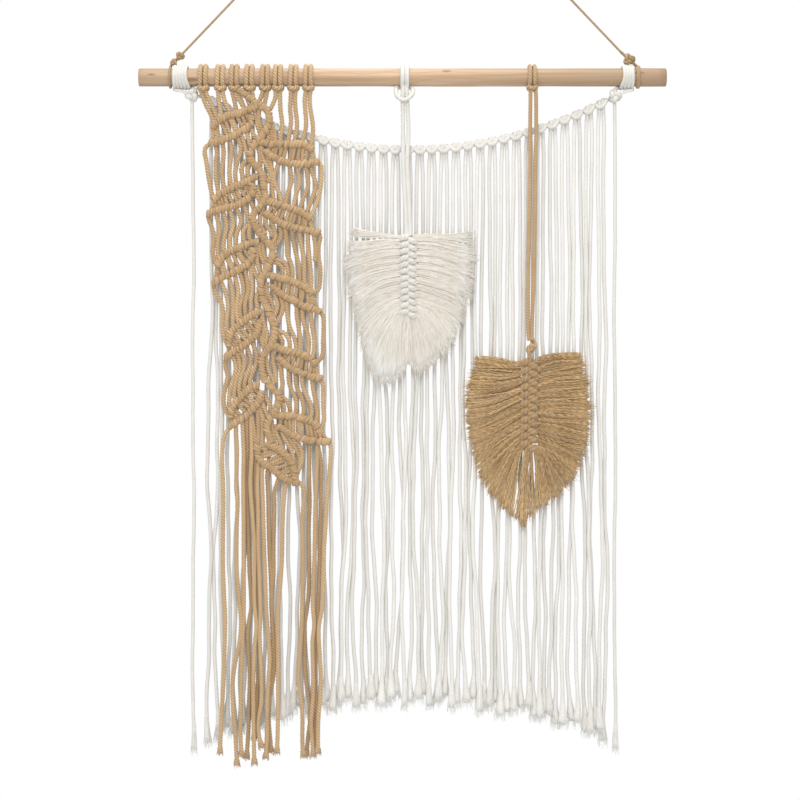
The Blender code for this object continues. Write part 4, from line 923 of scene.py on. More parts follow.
def rope_material(name, light, dark, groove_shade_colour, laid, ply_bump):
    """Twisted cotton: yarn lines across each ply, flecks of fibre, a tone for each strand, and painted
    shade in the grooves between plies.

    A ply's height is the size of a sine that runs three half waves round the cord, and with
    a lay the sine also turns down the cord. Yarn lines are a sine of U and V, with V in
    centimetres.
    """
    material, nodes, links, shader = shader_of(name, 0.92, 0.25)
    uv = nodes.new("ShaderNodeUVMap")
    parts = nodes.new("ShaderNodeSeparateXYZ")
    links.new(uv.outputs[0], parts.inputs[0])
    round_it, down_it = parts.outputs[0], parts.outputs[1]
    plies = maths(nodes, links, "MULTIPLY", round_it, float(PLIES))
    if laid:
        twist = maths(nodes, links, "MULTIPLY", down_it, PLIES * 10.0 / laid)
        plies = maths(nodes, links, "ADD", plies, twist)
    ply = maths(nodes, links, "SINE", maths(nodes, links, "MULTIPLY", plies, math.pi))
    ply = maths(nodes, links, "ABSOLUTE", ply)
    yarns = maths(nodes, links, "SUBTRACT", maths(nodes, links, "MULTIPLY", round_it, 15.0),
                  maths(nodes, links, "MULTIPLY", down_it, 5.2))
    yarn = maths(nodes, links, "SINE", maths(nodes, links, "MULTIPLY", yarns, TAU))
    flecks = node(nodes, "ShaderNodeTexNoise", Scale=420.0, Detail=3.0, Roughness=0.65)
    patches = node(nodes, "ShaderNodeTexNoise", Scale=38.0, Detail=2.0, Roughness=0.5)
    coords = nodes.new("ShaderNodeTexCoord")
    for made in (flecks, patches):
        links.new(coords.outputs["Object"], made.inputs["Vector"])
    tone = node(nodes, "ShaderNodeAttribute", attribute_name="tone")
    mixed = maths(nodes, links, "MULTIPLY", flecks.outputs[0], 0.55)
    mixed = maths(nodes, links, "ADD", mixed, maths(nodes, links, "MULTIPLY", patches.outputs[0], 0.45))
    mixed = maths(nodes, links, "ADD", mixed, maths(nodes, links, "MULTIPLY", tone.outputs["Fac"], 0.35))
    spread = node(nodes, "ShaderNodeMapRange")
    spread.inputs["From Min"].default_value = 0.35
    spread.inputs["From Max"].default_value = 1.0
    links.new(mixed, spread.inputs["Value"])
    colour = blend_colours(nodes, links, spread.outputs[0], dark, light)
    # painted shade: the groove colour comes in where two plies meet, and is full in the groove
    depth = node(nodes, "ShaderNodeMapRange")
    depth.inputs["From Min"].default_value = 0.0
    depth.inputs["From Max"].default_value = 0.75
    links.new(ply, depth.inputs["Value"])
    colour = blend_colours(nodes, links, depth.outputs[0], groove_shade_colour, colour)
    links.new(colour, shader.inputs["Base Color"])
    height = maths(nodes, links, "MULTIPLY", yarn, 0.12)
    height = maths(nodes, links, "ADD", height, maths(nodes, links, "MULTIPLY", flecks.outputs[0], 0.5))
    height = maths(nodes, links, "ADD", height, maths(nodes, links, "MULTIPLY", ply, ply_bump))
    bump = node(nodes, "ShaderNodeBump", Strength=0.7, Distance=0.0006)
    links.new(height, bump.inputs["Height"])
    links.new(bump.outputs[0], shader.inputs["Normal"])
    return material


BRUSHED_COTTONS = {
    # the material's name; its light, dark and tip colours; how dark the painted shade in the bends
    # of a crimped yarn is; and where the tip's colour starts and is full, in cm along a fibre
    # the white ends' tip colour is lighter than the yarn: painted light that lifts the shade among the
    # loose fibres
    "brushed": ("white_brushed_ends", (0.78, 0.76, 0.715), (0.66, 0.635, 0.59),
                (0.88, 0.865, 0.82), 0.0, (1.6, 3.0)),
    "cream": ("cream_brushed_cotton", (0.76, 0.71, 0.64), (0.65, 0.595, 0.515),
              (0.76, 0.745, 0.705), 0.0, (4.6, 7.5)),
    "opened": ("tan_opened_ends", (0.52, 0.36, 0.20), (0.36, 0.235, 0.12),
               (0.50, 0.34, 0.19), 0.0, (4.6, 7.5)),
    "golden": ("golden_brushed_cotton", (0.68, 0.46, 0.225), (0.34, 0.20, 0.075),
               (0.64, 0.435, 0.21), 0.40, (4.6, 7.5)),
}


def fibre_material(name, light, dark, tip, crimp, opening):
    """Brushed cotton: a tone for each fibre, patches over the whole, and tips of their own colour, which on
    the white ends is lighter as painted light.

    V is the length along a fibre in centimetres. The tip's colour comes in over the lengths
    in opening, and a crimped yarn has painted shade in its bends.
    """
    material, nodes, links, shader = shader_of(name, 0.95, 0.35)
    tone = node(nodes, "ShaderNodeAttribute", attribute_name="tone")
    patches = node(nodes, "ShaderNodeTexNoise", Scale=55.0, Detail=3.0, Roughness=0.6)
    coords = nodes.new("ShaderNodeTexCoord")
    links.new(coords.outputs["Object"], patches.inputs["Vector"])
    mixed = maths(nodes, links, "MULTIPLY", tone.outputs["Fac"], 0.6)
    mixed = maths(nodes, links, "ADD", mixed, maths(nodes, links, "MULTIPLY", patches.outputs[0], 0.4))
    spread = node(nodes, "ShaderNodeMapRange")
    spread.inputs["From Min"].default_value = 0.15
    spread.inputs["From Max"].default_value = 0.85
    links.new(mixed, spread.inputs["Value"])
    colour = blend_colours(nodes, links, spread.outputs[0], dark, light)
    uv = nodes.new("ShaderNodeUVMap")
    parts = nodes.new("ShaderNodeSeparateXYZ")
    links.new(uv.outputs[0], parts.inputs[0])
    outward = node(nodes, "ShaderNodeMapRange")
    outward.inputs["From Min"].default_value = opening[0]
    outward.inputs["From Max"].default_value = opening[1]
    links.new(parts.outputs[1], outward.inputs["Value"])
    colour = blend_colours(nodes, links, outward.outputs[0], colour, tip)
    # painted shade: darker bands at the tops of a sine along each crimped yarn, where its bends are
    if crimp:
        bend_shade = maths(nodes, links, "ADD", maths(nodes, links, "MULTIPLY", parts.outputs[1], 1.15),
                      maths(nodes, links, "MULTIPLY", tone.outputs["Fac"], 3.0))
        bend_shade = maths(nodes, links, "ADD", bend_shade, maths(nodes, links, "MULTIPLY", patches.outputs[0], 3.0))
        bend_shade = maths(nodes, links, "SINE", maths(nodes, links, "MULTIPLY", bend_shade, TAU))
        bend_shade = maths(nodes, links, "MAXIMUM", maths(nodes, links, "MULTIPLY", bend_shade, crimp), 0.0)
        colour = blend_colours(nodes, links, bend_shade, colour, tuple(0.45 * part for part in dark))
    links.new(colour, shader.inputs["Base Color"])
    return material


PINE_STREAKS = (
    # noise value, colour
    (0.34, (0.31, 0.185, 0.10)), (0.45, (0.45, 0.31, 0.19)), (0.56, (0.575, 0.425, 0.29)),
    (0.70, (0.50, 0.36, 0.235)),
)
PINE_RING_PITCH = 0.0062       # in metres, as the knots below are
PINE_KNOTS = (
    # x, the height from the rod's axis and half the length along the rod
    (-0.240, -0.004, 0.011), (0.268, 0.004, 0.009), (0.050, 0.006, 0.007), (-0.285, 0.002, 0.006),
)
KNOT_ROUNDNESS = 0.28          # a knot's height for its length
KNOT_DEPTH = 0.010
KNOT_FRONT = 1.1               # from the axis to a knot's middle, in such depths


def pine_material():
    """Sanded pine: long streaks along X, growth rings across, and a few small dark knots.

    Streaks are noise stretched along X. Rings are the upper half of a sine of the height,
    shifted by a slow noise and raised to the fourth power. A knot is a ball gradient,
    squeezed in height. Both ends of the rod are darker, the right one more, as painted shade of the light
    falling off.
    """
    material, nodes, links, shader = shader_of("sanded_pine", 0.60, 0.0)
    shader.inputs["Specular IOR Level"].default_value = 0.4
    shader.inputs["Coat Weight"].default_value = 0.1
    shader.inputs["Coat Roughness"].default_value = 0.5
    coords = nodes.new("ShaderNodeTexCoord")
    stretch = node(nodes, "ShaderNodeMapping")
    stretch.inputs["Scale"].default_value = (3.0, 90.0, 90.0)
    links.new(coords.outputs["Object"], stretch.inputs["Vector"])
    broad = node(nodes, "ShaderNodeTexNoise", Scale=1.0, Detail=3.0, Roughness=0.55)
    links.new(stretch.outputs[0], broad.inputs["Vector"])
    thin = node(nodes, "ShaderNodeMapping")
    thin.inputs["Scale"].default_value = (14.0, 700.0, 700.0)
    links.new(coords.outputs["Object"], thin.inputs["Vector"])
    fine = node(nodes, "ShaderNodeTexNoise", Scale=1.0, Detail=2.0, Roughness=0.6)
    links.new(thin.outputs[0], fine.inputs["Vector"])
    ramp = nodes.new("ShaderNodeValToRGB")
    while len(ramp.color_ramp.elements) < len(PINE_STREAKS):
        ramp.color_ramp.elements.new(0.5)
    for element, (position, colour) in zip(ramp.color_ramp.elements, PINE_STREAKS):
        element.position = position
        element.color = (*colour, 1.0)
    links.new(broad.outputs[0], ramp.inputs["Fac"])
    faint = maths(nodes, links, "MULTIPLY", fine.outputs[0], 0.35)
    colour = blend_colours(nodes, links, faint, ramp.outputs[0], (0.40, 0.27, 0.16))
    place = nodes.new("ShaderNodeSeparateXYZ")
    links.new(coords.outputs["Object"], place.inputs[0])
    # painted shade: darker towards both ends of the rod, more to the right, where the light falls off
    leftward = maths(nodes, links, "MULTIPLY", place.outputs[0], -0.6)
    outer = maths(nodes, links, "MAXIMUM", place.outputs[0], leftward)
    far = node(nodes, "ShaderNodeMapping")
    far.inputs["Scale"].default_value = (5.5, 14.0, 14.0)
    links.new(coords.outputs["Object"], far.inputs["Vector"])
    drift = node(nodes, "ShaderNodeTexNoise", Scale=1.0, Detail=1.0, Roughness=0.4)
    links.new(far.outputs[0], drift.inputs["Vector"])
    shift = maths(nodes, links, "MULTIPLY", drift.outputs[0], 0.035)
    rings = maths(nodes, links, "ADD", place.outputs[2], shift)
    rings = maths(nodes, links, "SINE", maths(nodes, links, "MULTIPLY", rings, TAU / PINE_RING_PITCH))
    rings = maths(nodes, links, "POWER", maths(nodes, links, "MAXIMUM", rings, 0.0), 4.0)
    rings = maths(nodes, links, "MULTIPLY", rings, 0.45)
    colour = blend_colours(nodes, links, rings, colour, (0.38, 0.24, 0.13))
    ends = node(nodes, "ShaderNodeMapRange")
    ends.inputs["From Min"].default_value = 0.05
    ends.inputs["From Max"].default_value = 0.30
    ends.inputs["To Max"].default_value = 1.0
    links.new(outer, ends.inputs["Value"])
    colour = blend_colours(nodes, links, ends.outputs[0], colour, (0.315, 0.21, 0.125))
    for x, across, size in PINE_KNOTS:
        patch = node(nodes, "ShaderNodeMapping", vector_type="POINT")
        high = KNOT_ROUNDNESS * size
        patch.inputs["Location"].default_value = (-x / size, KNOT_FRONT, (ROD_DROP * MM - across) / high)
        patch.inputs["Scale"].default_value = (1.0 / size, 1.0 / KNOT_DEPTH, 1.0 / high)
        links.new(coords.outputs["Object"], patch.inputs["Vector"])
        ball = node(nodes, "ShaderNodeTexGradient", gradient_type="SPHERICAL")
        links.new(patch.outputs[0], ball.inputs["Vector"])
        shade = maths(nodes, links, "MULTIPLY", ball.outputs["Fac"], 1.6)
        shade = maths(nodes, links, "MINIMUM", shade, 0.8)
        colour = blend_colours(nodes, links, shade, colour, (0.22, 0.12, 0.06))
    links.new(colour, shader.inputs["Base Color"])
    bump = node(nodes, "ShaderNodeBump", Strength=0.25, Distance=0.0003)
    links.new(fine.outputs[0], bump.inputs["Height"])
    links.new(bump.outputs[0], shader.inputs["Normal"])
    return material


# ---------------------------------------------------------------- pieces


def build_rod(material):
    """The dowel, turned about X: its radius is the rod's, rounded off over the worn edge.

    Between the edges it is a little more, by the swell and two slow sine waves of wear.
    """
    edge = np.linspace(0.0, 0.5 * math.pi, EDGE_STEPS)
    x_in = ROD_HALF - ROD_EDGE * (1.0 - np.sin(edge))
    r_in = ROD_RADIUS - ROD_EDGE * (1.0 - np.cos(edge))
    end_x = np.concatenate([x_in, np.full(END_RINGS, ROD_HALF)])
    end_r = np.concatenate([r_in, np.linspace(ROD_RADIUS - ROD_EDGE, END_HOLE, END_RINGS + 1)[1:]])
    middle = np.linspace(-ROD_HALF + ROD_EDGE, ROD_HALF - ROD_EDGE, ROD_RINGS)[1:-1]
    xs = np.concatenate([-end_x[::-1], middle, end_x])
    radii = np.concatenate([end_r[::-1], np.full(len(middle), ROD_RADIUS), end_r])
    path = np.column_stack([xs + 1e-4 * np.arange(len(xs)), np.zeros(len(xs)), np.zeros(len(xs))])
    worn = 0.12 * np.sin(xs / 37.0) + 0.07 * np.sin(xs / 11.0 + 2.0)
    radii = radii + np.where(radii == ROD_RADIUS, worn + ROD_SWELL, 0.0)
    bundle = Bundle()
    bundle.sweep(path, radii, ROD_SIDES)
    return bundle.dress("rod_dowel", material, "rod_pine", "rod")


# the points of a lark's head's turn on the rod, in degrees from its front over its top
HEAD_ANGLES = (-52.0, -25.0, 5.0, 40.0, 75.0, 110.0, 145.0, 180.0, 212.0, 240.0)


def head_on_rod(x, radius, left_leg, right_leg):
    """A lark's head on the rod, as one path from its left leg's end to its right leg's end.

    Its two turns lie side by side in front, over and behind the rod, and the bight between
    them crosses below in front of both legs.
    """
    reach = ROD_RADIUS + radius
    half = radius - 0.1
    angles = np.radians(HEAD_ANGLES)
    turn = np.column_stack([np.full(len(angles), half), -reach * np.sin(angles), -reach * np.cos(angles)])
    under = np.array([
        (half + 1.0, reach + 0.2, 2.0),
        (half + 1.9, reach - 0.5, -3.5),
        (half + 1.7, reach - 1.2, -8.0),
        (half - 0.4, reach + 0.2, -11.2),
        (0.0, reach + 1.3, -12.4),
    ])
    neck = (half * 0.9, reach + 3.0, -7.4)
    sides = []
    for side, leg in ((-1.0, left_leg), (1.0, right_leg)):
        own = np.vstack([[neck], turn, under]) * (side, 1.0, 1.0) + (x, 0.0, 0.0)
        sides.append(np.vstack([np.asarray(leg)[::-1], own]))
    return np.vstack([sides[0], sides[1][::-1][1:]])


def hitches(bundle, core, reach, trim=0.0):
    """Hitches side by side on a core.

    Each is a ring of cord. Its point at angle a lies at the core's point, plus the reach
    times the cosine of a across the core and its sine in depth, and it leans along the core
    by the slant times that cosine. Places, reaches, slants and radii differ by chance.
    """
    path = smooth(core, FINE_STEP)
    total = FINE_STEP * (len(path) - 1)
    count = max(3, round((total - 2 * trim) / HITCH_PITCH))
    places = np.linspace(trim, total - trim, count) + HITCH_SCATTER * (noise.random(count) - 0.5)
    places = np.clip(places, 0.0, total) * (len(path) - 1) / total
    index = np.arange(len(path))
    middles = np.column_stack([np.interp(places, index, column) for column in path.T])
    ahead = unit(np.column_stack([np.interp(places, index, c) for c in np.gradient(path, axis=0).T]))
    across = unit(np.cross(ahead, [0.0, 0.0, 1.0]))
    deep = np.cross(ahead, across)
    chance = noise.random((count, 4))
    reaches = reach * (0.88 + 0.24 * chance[:, 0])
    slant = HITCH_SLANT * (0.3 + 1.4 * chance[:, 1])
    middles = middles + across * (0.9 * (chance[:, 3:] - 0.5))
    angle = np.linspace(0.0, TAU, HITCH_STEPS, endpoint=False)[None, :, None]
    round_it = np.cos(angle) * across[:, None] + HITCH_FLATNESS * np.sin(angle) * deep[:, None]
    lean = slant[:, None, None] * np.cos(angle) * ahead[:, None]
    rings = middles[:, None] + reaches[:, None, None] * (round_it + lean)
    radii = HITCH_RADIUS * (0.80 + 0.30 * chance[:, 2:3])
    bundle.sweep(rings, radii, HITCH_SIDES, closed=True)
    bundle.sweep(smooth(core, CORE_STEP), CORE_GROWTH * reach, HITCH_SIDES)


def build_panel(material, hitched, brushed):
    """The leaf panel: hitched stem and bars, and the ropes between, above and below them."""
    bars, strands, fringe = Bundle(), Bundle(), Bundle()
    hitches(bars, level(STEM, BAR_DEPTH - 0.6), STEM_REACH)
    for upper, lower in LEAVES.values():
        hitches(bars, level(upper, BAR_DEPTH + 0.2), BAR_REACH, 0.5)
        hitches(bars, level(lower, BAR_DEPTH - 0.2), BAR_REACH, 0.5)
        span = np.linalg.norm(np.diff(smooth(lower, 1.0), axis=0), axis=1).sum()
        count = round(span / WEB_PITCH)
        shares = (np.arange(count) + 0.6) / (count + 0.2) + 0.03 * (noise.random(count) - 0.5)
        tops = along(upper, np.clip(shares + WEB_LEAN, 0.0, 1.0))
        feet = along(lower, np.clip(shares + 0.06 * (noise.random(count) - 0.5), 0.0, 1.0))
        for top, foot in zip(tops, feet):
            middle = 0.5 * (top + foot) + 1.2 * (noise.random(2) - 0.5)
            bulge = PANEL_DEPTH + 0.8 * noise.random() - 0.4
            points = level([top, middle, foot], (PANEL_DEPTH, bulge, PANEL_DEPTH))
            strands.rope(points, WEB_RADIUS, TAN_LAY)
    for route in STRANDS:
        depths = PANEL_DEPTH + 1.6 * (noise.random(len(route)) - 0.5)
        strands.rope(level(route, depths), TAN_RADIUS + 0.5, TAN_LAY)
    for x, legs in zip(HEADS_X, TOP_STRANDS):
        left_leg, right_leg = (
            level(leg[1:], np.linspace(TOP_LEG_DEPTH, PANEL_DEPTH, len(leg) - 1)) for leg in legs
        )
        strands.rope(head_on_rod(x, TOP_CORD_RADIUS, left_leg, right_leg), TOP_CORD_RADIUS, TAN_LAY)
    ends, headings = [], []
    for layer, route in FRINGE:
        depths = np.full(len(route), FRINGE_DEPTH[layer])
        depths[:2] = PANEL_DEPTH, 0.5 * (PANEL_DEPTH + FRINGE_DEPTH[layer])
        depths[2:] += 0.8 * (noise.random(len(route) - 2) - 0.5)
        path = smooth(level(route, depths), ROPE_STEP)
        radii = widening(path, FRINGE_RADIUS, FRINGE_WIDE, FRINGE_OPENING)
        # cords of the back layer take the darkest tone: painted shade behind the front layer
        tone = 0.55 + 0.45 * noise.random() if layer == "front" else 0.0
        fringe.sweep(path, radii, PLY_SIDES, TAN_LAY, GROOVE, tones=tone)
        ends.append(path[-1])
        headings.append(path[-1] - path[-6])
    opened = Bundle()
    radii = (FRINGE_RADIUS, FRINGE_WIDE + 0.1)
    ends, headings = np.array(ends), np.array(headings)
    frayed(opened, ends, headings, radii, FRINGE_FIBRES, length=8.0, beyond=2.5, thickness=0.4)
    opened.dress("leaf_panel_fringe_ends", brushed, "tan_cotton_cord", "leaf_panel")
    bars.dress("leaf_panel_hitched_bars", hitched, "tan_cotton_cord", "leaf_panel")
    strands.dress("leaf_panel_strands", material, "tan_cotton_cord", "leaf_panel")
    fringe.dress("leaf_panel_fringe", material, "tan_cotton_cord", "leaf_panel")


def carrier_drop(x):
    """Return the drop of the sagging carrier cord at x: a parabola through its lowest point."""
    return SAG_DROP - SAG_BEND * (x - SAG_CENTRE_X) ** 2


HEAD_ON_CARRIER = (
    # x_mm, drop_mm and depth_mm from the carrier's middle, for the right half of a lark's head
    (2.6, 13.0, -2.2),
    (2.4, 7.5, -2.6),
    (1.9, 2.0, -4.2),
    (1.8, -2.0, -3.5),
    (2.4, -3.2, 0.0),
    (3.4, -2.2, 3.4),
    (4.2, 0.6, 4.3),
    (4.9, 0.4, 1.8),
    (5.4, -1.2, -1.6),
    (5.2, -0.6, -4.6),
    (4.2, 2.0, -6.0),
    (2.2, 3.6, -6.5),
    (0.0, 4.0, -6.7),
)
HEAD_CORD_RADIUS = 2.5
HEAD_TIP = 0.14                # slope between the most unevenly tipped heads
HEAD_STEP = 1.3
STRAND_RADIUS = 2.2


def build_curtain(material, brushed):
    """The white curtain: carrier, heads and lashings, its strands, and their frayed ends.

    A head is the same half path and its mirror image, tilted with the carrier's slope.
    """
    heads_x = CURTAIN_FIRST_X + CURTAIN_PITCH * np.arange(CURTAIN_HEADS)
    carrier, left, right, ends_bundle = Bundle(), Bundle(), Bundle(), Bundle()
    first, last = heads_x[0] - CARRIER_OVERRUN, heads_x[-1] + CARRIER_OVERRUN
    run = np.concatenate([[first], heads_x, [last]])
    route = np.column_stack([run, carrier_drop(run), np.full(len(run), CARRIER_DEPTH)])
    left_knot, right_knot = ((*lashing[3:], CARRIER_END_DEPTH) for lashing in LASHINGS)
    route = np.vstack([left_knot, route, right_knot])
    path = smooth(route, CARRIER_STEP)
    # the carrier takes the darkest tone of the white cotton: painted shade
    carrier.sweep(path, WHITE_RADIUS, PLY_SIDES, WHITE_LAY, groove=0.2, tones=0.0)
    half = np.array(HEAD_ON_CARRIER)
    shape = np.vstack([half * (-1.0, 1.0, 1.0), half[::-1][1:]])
    for x in heads_x:
        tip = HEAD_TIP * (noise.random() - 0.5)
        turned = shape.copy()
        turned[:, 1] += tip * shape[:, 0] * (shape[:, 1] < 6)
        slope = -2 * SAG_BEND * (x - SAG_CENTRE_X)
        turned[:, 1] += slope * shape[:, 0]
        path = turned * (0.92 + 0.16 * noise.random(), 1.0, 1.0) + (x, carrier_drop(x), CARRIER_DEPTH)
        path[[0, -1], 0] = x - HEAD_ON_CARRIER[0][0], x + HEAD_ON_CARRIER[0][0]
        path[[0, -1], 2] = CURTAIN_DEPTH[0]
        path = smooth(path, HEAD_STEP)
        away = np.minimum(np.arange(len(path)), np.arange(len(path))[::-1])
        radii = np.interp(away, (0, 4), (0.97 * STRAND_RADIUS, HEAD_CORD_RADIUS))
        # the heads take the darkest tone of the white cotton: painted shade against the light on their tops
        carrier.sweep(path, radii, PLY_SIDES, WHITE_LAY, SOFT_GROOVE, tones=0.0)
    for start, stop, turns, knot_x, knot_drop in LASHINGS:
        build_lashing(carrier, start, stop, turns, knot_x, knot_drop)
    ends, headings, wides, thins = [], [], [], []
    for index, x in enumerate(heads_x):
        for side, depth in zip((-1, 1), CURTAIN_DEPTH):
            path = curtain_path(2 * index + (side > 0), x, side, depth)
            bundle = left if x < SAG_CENTRE_X else right
            thins.append(STRAND_RADIUS)
            wides.append(ENDS_WIDE[0] + ENDS_WIDE[1] * noise.random())
            bundle.sweep(path, widening(path, STRAND_RADIUS, wides[-1], ENDS_OPENING), ROUND_SIDES)
            ends.append(path[-1])
            headings.append(path[-1] - path[-4])
    for number, bundle in enumerate((left, right)):
        x, drop = LASHINGS[number][3:]
        end = TAIL_ENDS[number]
        third = 0.7 * drop + 0.3 * end
        path = smooth([(x, drop, 1.0), (x, third, TAIL_DEPTH), (x, end, TAIL_DEPTH)], TAIL_STEP)
        path = swayed(path, *TAIL_SWAY, TAIL_SEED + number)
        thins.append(WHITE_RADIUS)
        wides.append(TAIL_WIDE)
        bundle.sweep(path, widening(path, WHITE_RADIUS, wides[-1], TAIL_OPENING), ROUND_SIDES)
        ends.append(path[-1])
        headings.append(path[-1] - path[-4])
    ends, headings = np.array(ends), np.array(headings)
    radii = (np.array(thins), np.array(wides) + 0.4)
    frayed(ends_bundle, ends, headings, radii, END_FIBRES, length=34.0, beyond=3.5, thickness=0.46)
    carrier.dress("curtain_carrier_and_heads", material, "white_cotton_cord", "curtain")
    left.dress("curtain_strands_left", material, "white_cotton_cord", "curtain")
    right.dress("curtain_strands_right", material, "white_cotton_cord", "curtain")
    ends_bundle.dress("curtain_frayed_ends", brushed, "white_cotton_cord", "curtain")


def curtain_path(number, head_x, side, depth):
    """A hanging strand: it leaves its head beside its twin, parts from it and sways.

    It bends by one sine wave that grows down it, and it splays by the cube of how far out
    its head is. Its end lies on a parabola, unevenly by steps of a share that never repeat.
    """
    start = carrier_drop(head_x) + STRAND_FIRST_DROP
    share_out = abs(head_x - SAG_CENTRE_X) / ARCH_HALF_WIDTH
    uneven = 2.0 * ((number + 1) * UNEVEN_SHARE % 1.0) - 1.0
    end = ARCH_DROP + ARCH_RISE * share_out**2 + ARCH_UNEVEN * uneven
    share = np.linspace(0.0, 1.0, STRAND_POINTS)
    below = np.clip(share * (end - start) / PARTING_LENGTH, 0.0, 1.0)
    apart = STRAND_SPREAD + (STRAND_HALF_PITCH - STRAND_SPREAD) * below
    apart = apart + STRAND_PARTING * np.sin(math.pi * share)
    phase = 2.0 * ((number // 2 + 1) * PHASE_SHARE % 1.0) - 1.0
    x = head_x + side * apart + STRAND_SWAY * share * np.sin(TAU * (STRAND_SWAYS * share + phase))
    x = x + STRAND_SPLAY * ((head_x - SAG_CENTRE_X) / ARCH_HALF_WIDTH) ** 3 * share**2
    down = np.clip(share * (end - start) / SETTLING_LENGTH, 0.0, 1.0)
    depths = CURTAIN_DEPTH[0] + (depth - CURTAIN_DEPTH[0]) * down
    path = np.column_stack([x, start + share * (end - start), depths])
    return swayed(path, *CURTAIN_SWAY, STRAND_SEED + number)


def build_lashing(bundle, start, stop, turns, knot_x, knot_drop):
    """Turns of white cord round the rod, slanting in below, and the knot that they run to.

    The turns are a helix round the rod. Under it they flare inwards, each more than the last,
    by a power of how far below the axis they are.
    """
    reach = ROD_RADIUS + LASHING_RADIUS
    angle = np.linspace(-0.5 * math.pi, -0.5 * math.pi + TAU * turns, 14 * turns)
    share = np.linspace(0.0, 1.0, len(angle))
    inward = math.copysign(1.0, stop - start)
    x = start + inward * (LASHING_RADIUS + (abs(stop - start) - 2 * LASHING_RADIUS) * share)
    flare = inward * (1.0 + 4.6 * share) * np.clip(-np.sin(angle), 0.0, 1.0) ** 1.5
    path = np.column_stack([x + flare, -reach * np.sin(angle), -reach * np.cos(angle)])
    to_knot = [(path[-1, 0] + inward * 3.0, 15.0, -3.0), (knot_x, knot_drop, -2.0)]
    path = smooth(np.vstack([path, to_knot]), LASHING_STEP)
    # painted shade: the turns are a darker copy of the white cotton
    bundle.sweep(path, LASHING_RADIUS, PLY_SIDES, WHITE_LAY, SOFT_GROOVE, tones=LASHING_SHADE_TONE)
    under = [
        (start + inward * 3.0, 12.0, 4.0),
        (start + inward * 3.0, 14.6, -3.0),
        (0.5 * (start + stop) + inward * 2.0, 16.6, -5.5),
        (knot_x - inward * 3.0, knot_drop - 1.0, -3.0),
    ]
    bundle.rope(under, WHITE_RADIUS, WHITE_LAY, LASHING_STEP)
    knot = trefoil((knot_x, knot_drop, -0.5), size=5.4, squash=2.6, turn=0.5 * inward)
    # the knot takes the darkest tone of the white cotton: painted shade
    bundle.sweep(knot, KNOT_CORD_RADIUS, PLY_SIDES, closed=True, tones=0.0)


def build_hanger(material):
    """The twine: turns and a knot at each end of the rod, and two legs that meet at the hook.

    The turns are a helix round the rod, and a knot is one or two trefoils on its way in.
    """
    bundle = Bundle()
    hook = np.array((HOOK_HALF, HOOK_FALL - ROD_DROP))
    legs = []
    for turning, outer, inner, lumps, stub_length in HANGER_SIDES:
        start, stop, turns = turning
        reach = ROD_RADIUS + TWINE_RADIUS
        angle = np.linspace(0.5 * math.pi, 0.5 * math.pi + TAU * turns, 16 * turns)
        share = np.linspace(0.0, 1.0, len(angle))
        inward = math.copysign(1.0, stop - start)
        middle = start + inward * (TWINE_RADIUS + (abs(stop - start) - 2 * TWINE_RADIUS) * share)
        path = np.column_stack([middle, -reach * np.sin(angle), -reach * np.cos(angle)])
        path = np.vstack([[(*outer, -0.8)], path, [(*outer, 0.8)]])
        bundle.rope(path, TWINE_RADIUS, TWINE_LAY, TWINE_STEP)
        outer, inner = np.array((*outer, 0.0)), np.array((*inner, 0.0))
        for place, size, radius, turn in lumps:
            centre = outer + place * (inner - outer)
            knot = trefoil(centre, size, squash=2.2, turn=turn * inward)
            bundle.sweep(knot, radius, PLY_SIDES, closed=True)
        middle = 0.5 * (outer + inner)
        bundle.rope([outer, middle, inner], TWINE_RADIUS + 0.4, TWINE_LAY, TWINE_STEP)
        if stub_length:
            stub = outer + 0.5 * (inner - outer)
            away = stub_length * np.array((-1.0 * inward, -0.2, -0.1))
            bundle.rope([stub, stub + 0.6 * away, stub + away], STUB_RADIUS, TWINE_LAY, TWINE_STEP)
        shares = np.array((0.0, 0.3, 0.6, 0.9, 1.0))[:, None]
        legs.append(level(inner[:2] + shares * (hook * (-inward, 1.0) - inner[:2]), 0.0))
    over = [(0.0, -ROD_DROP - TWINE_RADIUS, 0.0)]
    path = np.vstack([legs[0], over, legs[1][::-1]])
    bundle.rope(path, TWINE_RADIUS, TWINE_LAY, TWINE_STEP)
    bundle.dress("hanger_twine", material, "hanger_twine", "hanger_cord")


def build_spine(bundle, name, lay, relief):
    """The plait down a feather's middle.

    Two columns of lumps meet at a seam, the right column half a row lower. A lump is a soft
    cord, thick in its middle, that dips behind at both ends.
    """
    (top_x, top_drop), (foot_x, foot_drop) = FEATHERS[name][0]
    rows = SPINE_ROWS[name]
    pitch = (foot_drop - top_drop) / rows
    for row in range(rows):
        for route, lower in ((SPINE_LEFT, 0.0), (SPINE_RIGHT, 0.5)):
            share = (row + 0.4 + lower) / (rows + 0.3)
            x = top_x + share * (foot_x - top_x)
            drop = top_drop + share * (foot_drop - top_drop)
            shift = noise.random(3) - 0.5
            middle = np.array(route) + (x + 0.6 * shift[0], drop + 0.6 * shift[1], FEATHER_DEPTH, 0.0)
            middle[:, 1] += 0.12 * shift[2] * np.array(route)[:, 0]
            middle[:, 2] = FEATHER_DEPTH - SPINE_SINK + relief * (middle[:, 2] - FEATHER_DEPTH + SPINE_SINK)
            fine = smooth(middle, 0.9)
            bundle.sweep(fine[:, :3], pitch * fine[:, 3], SPINE_SIDES, lay, 0.10)


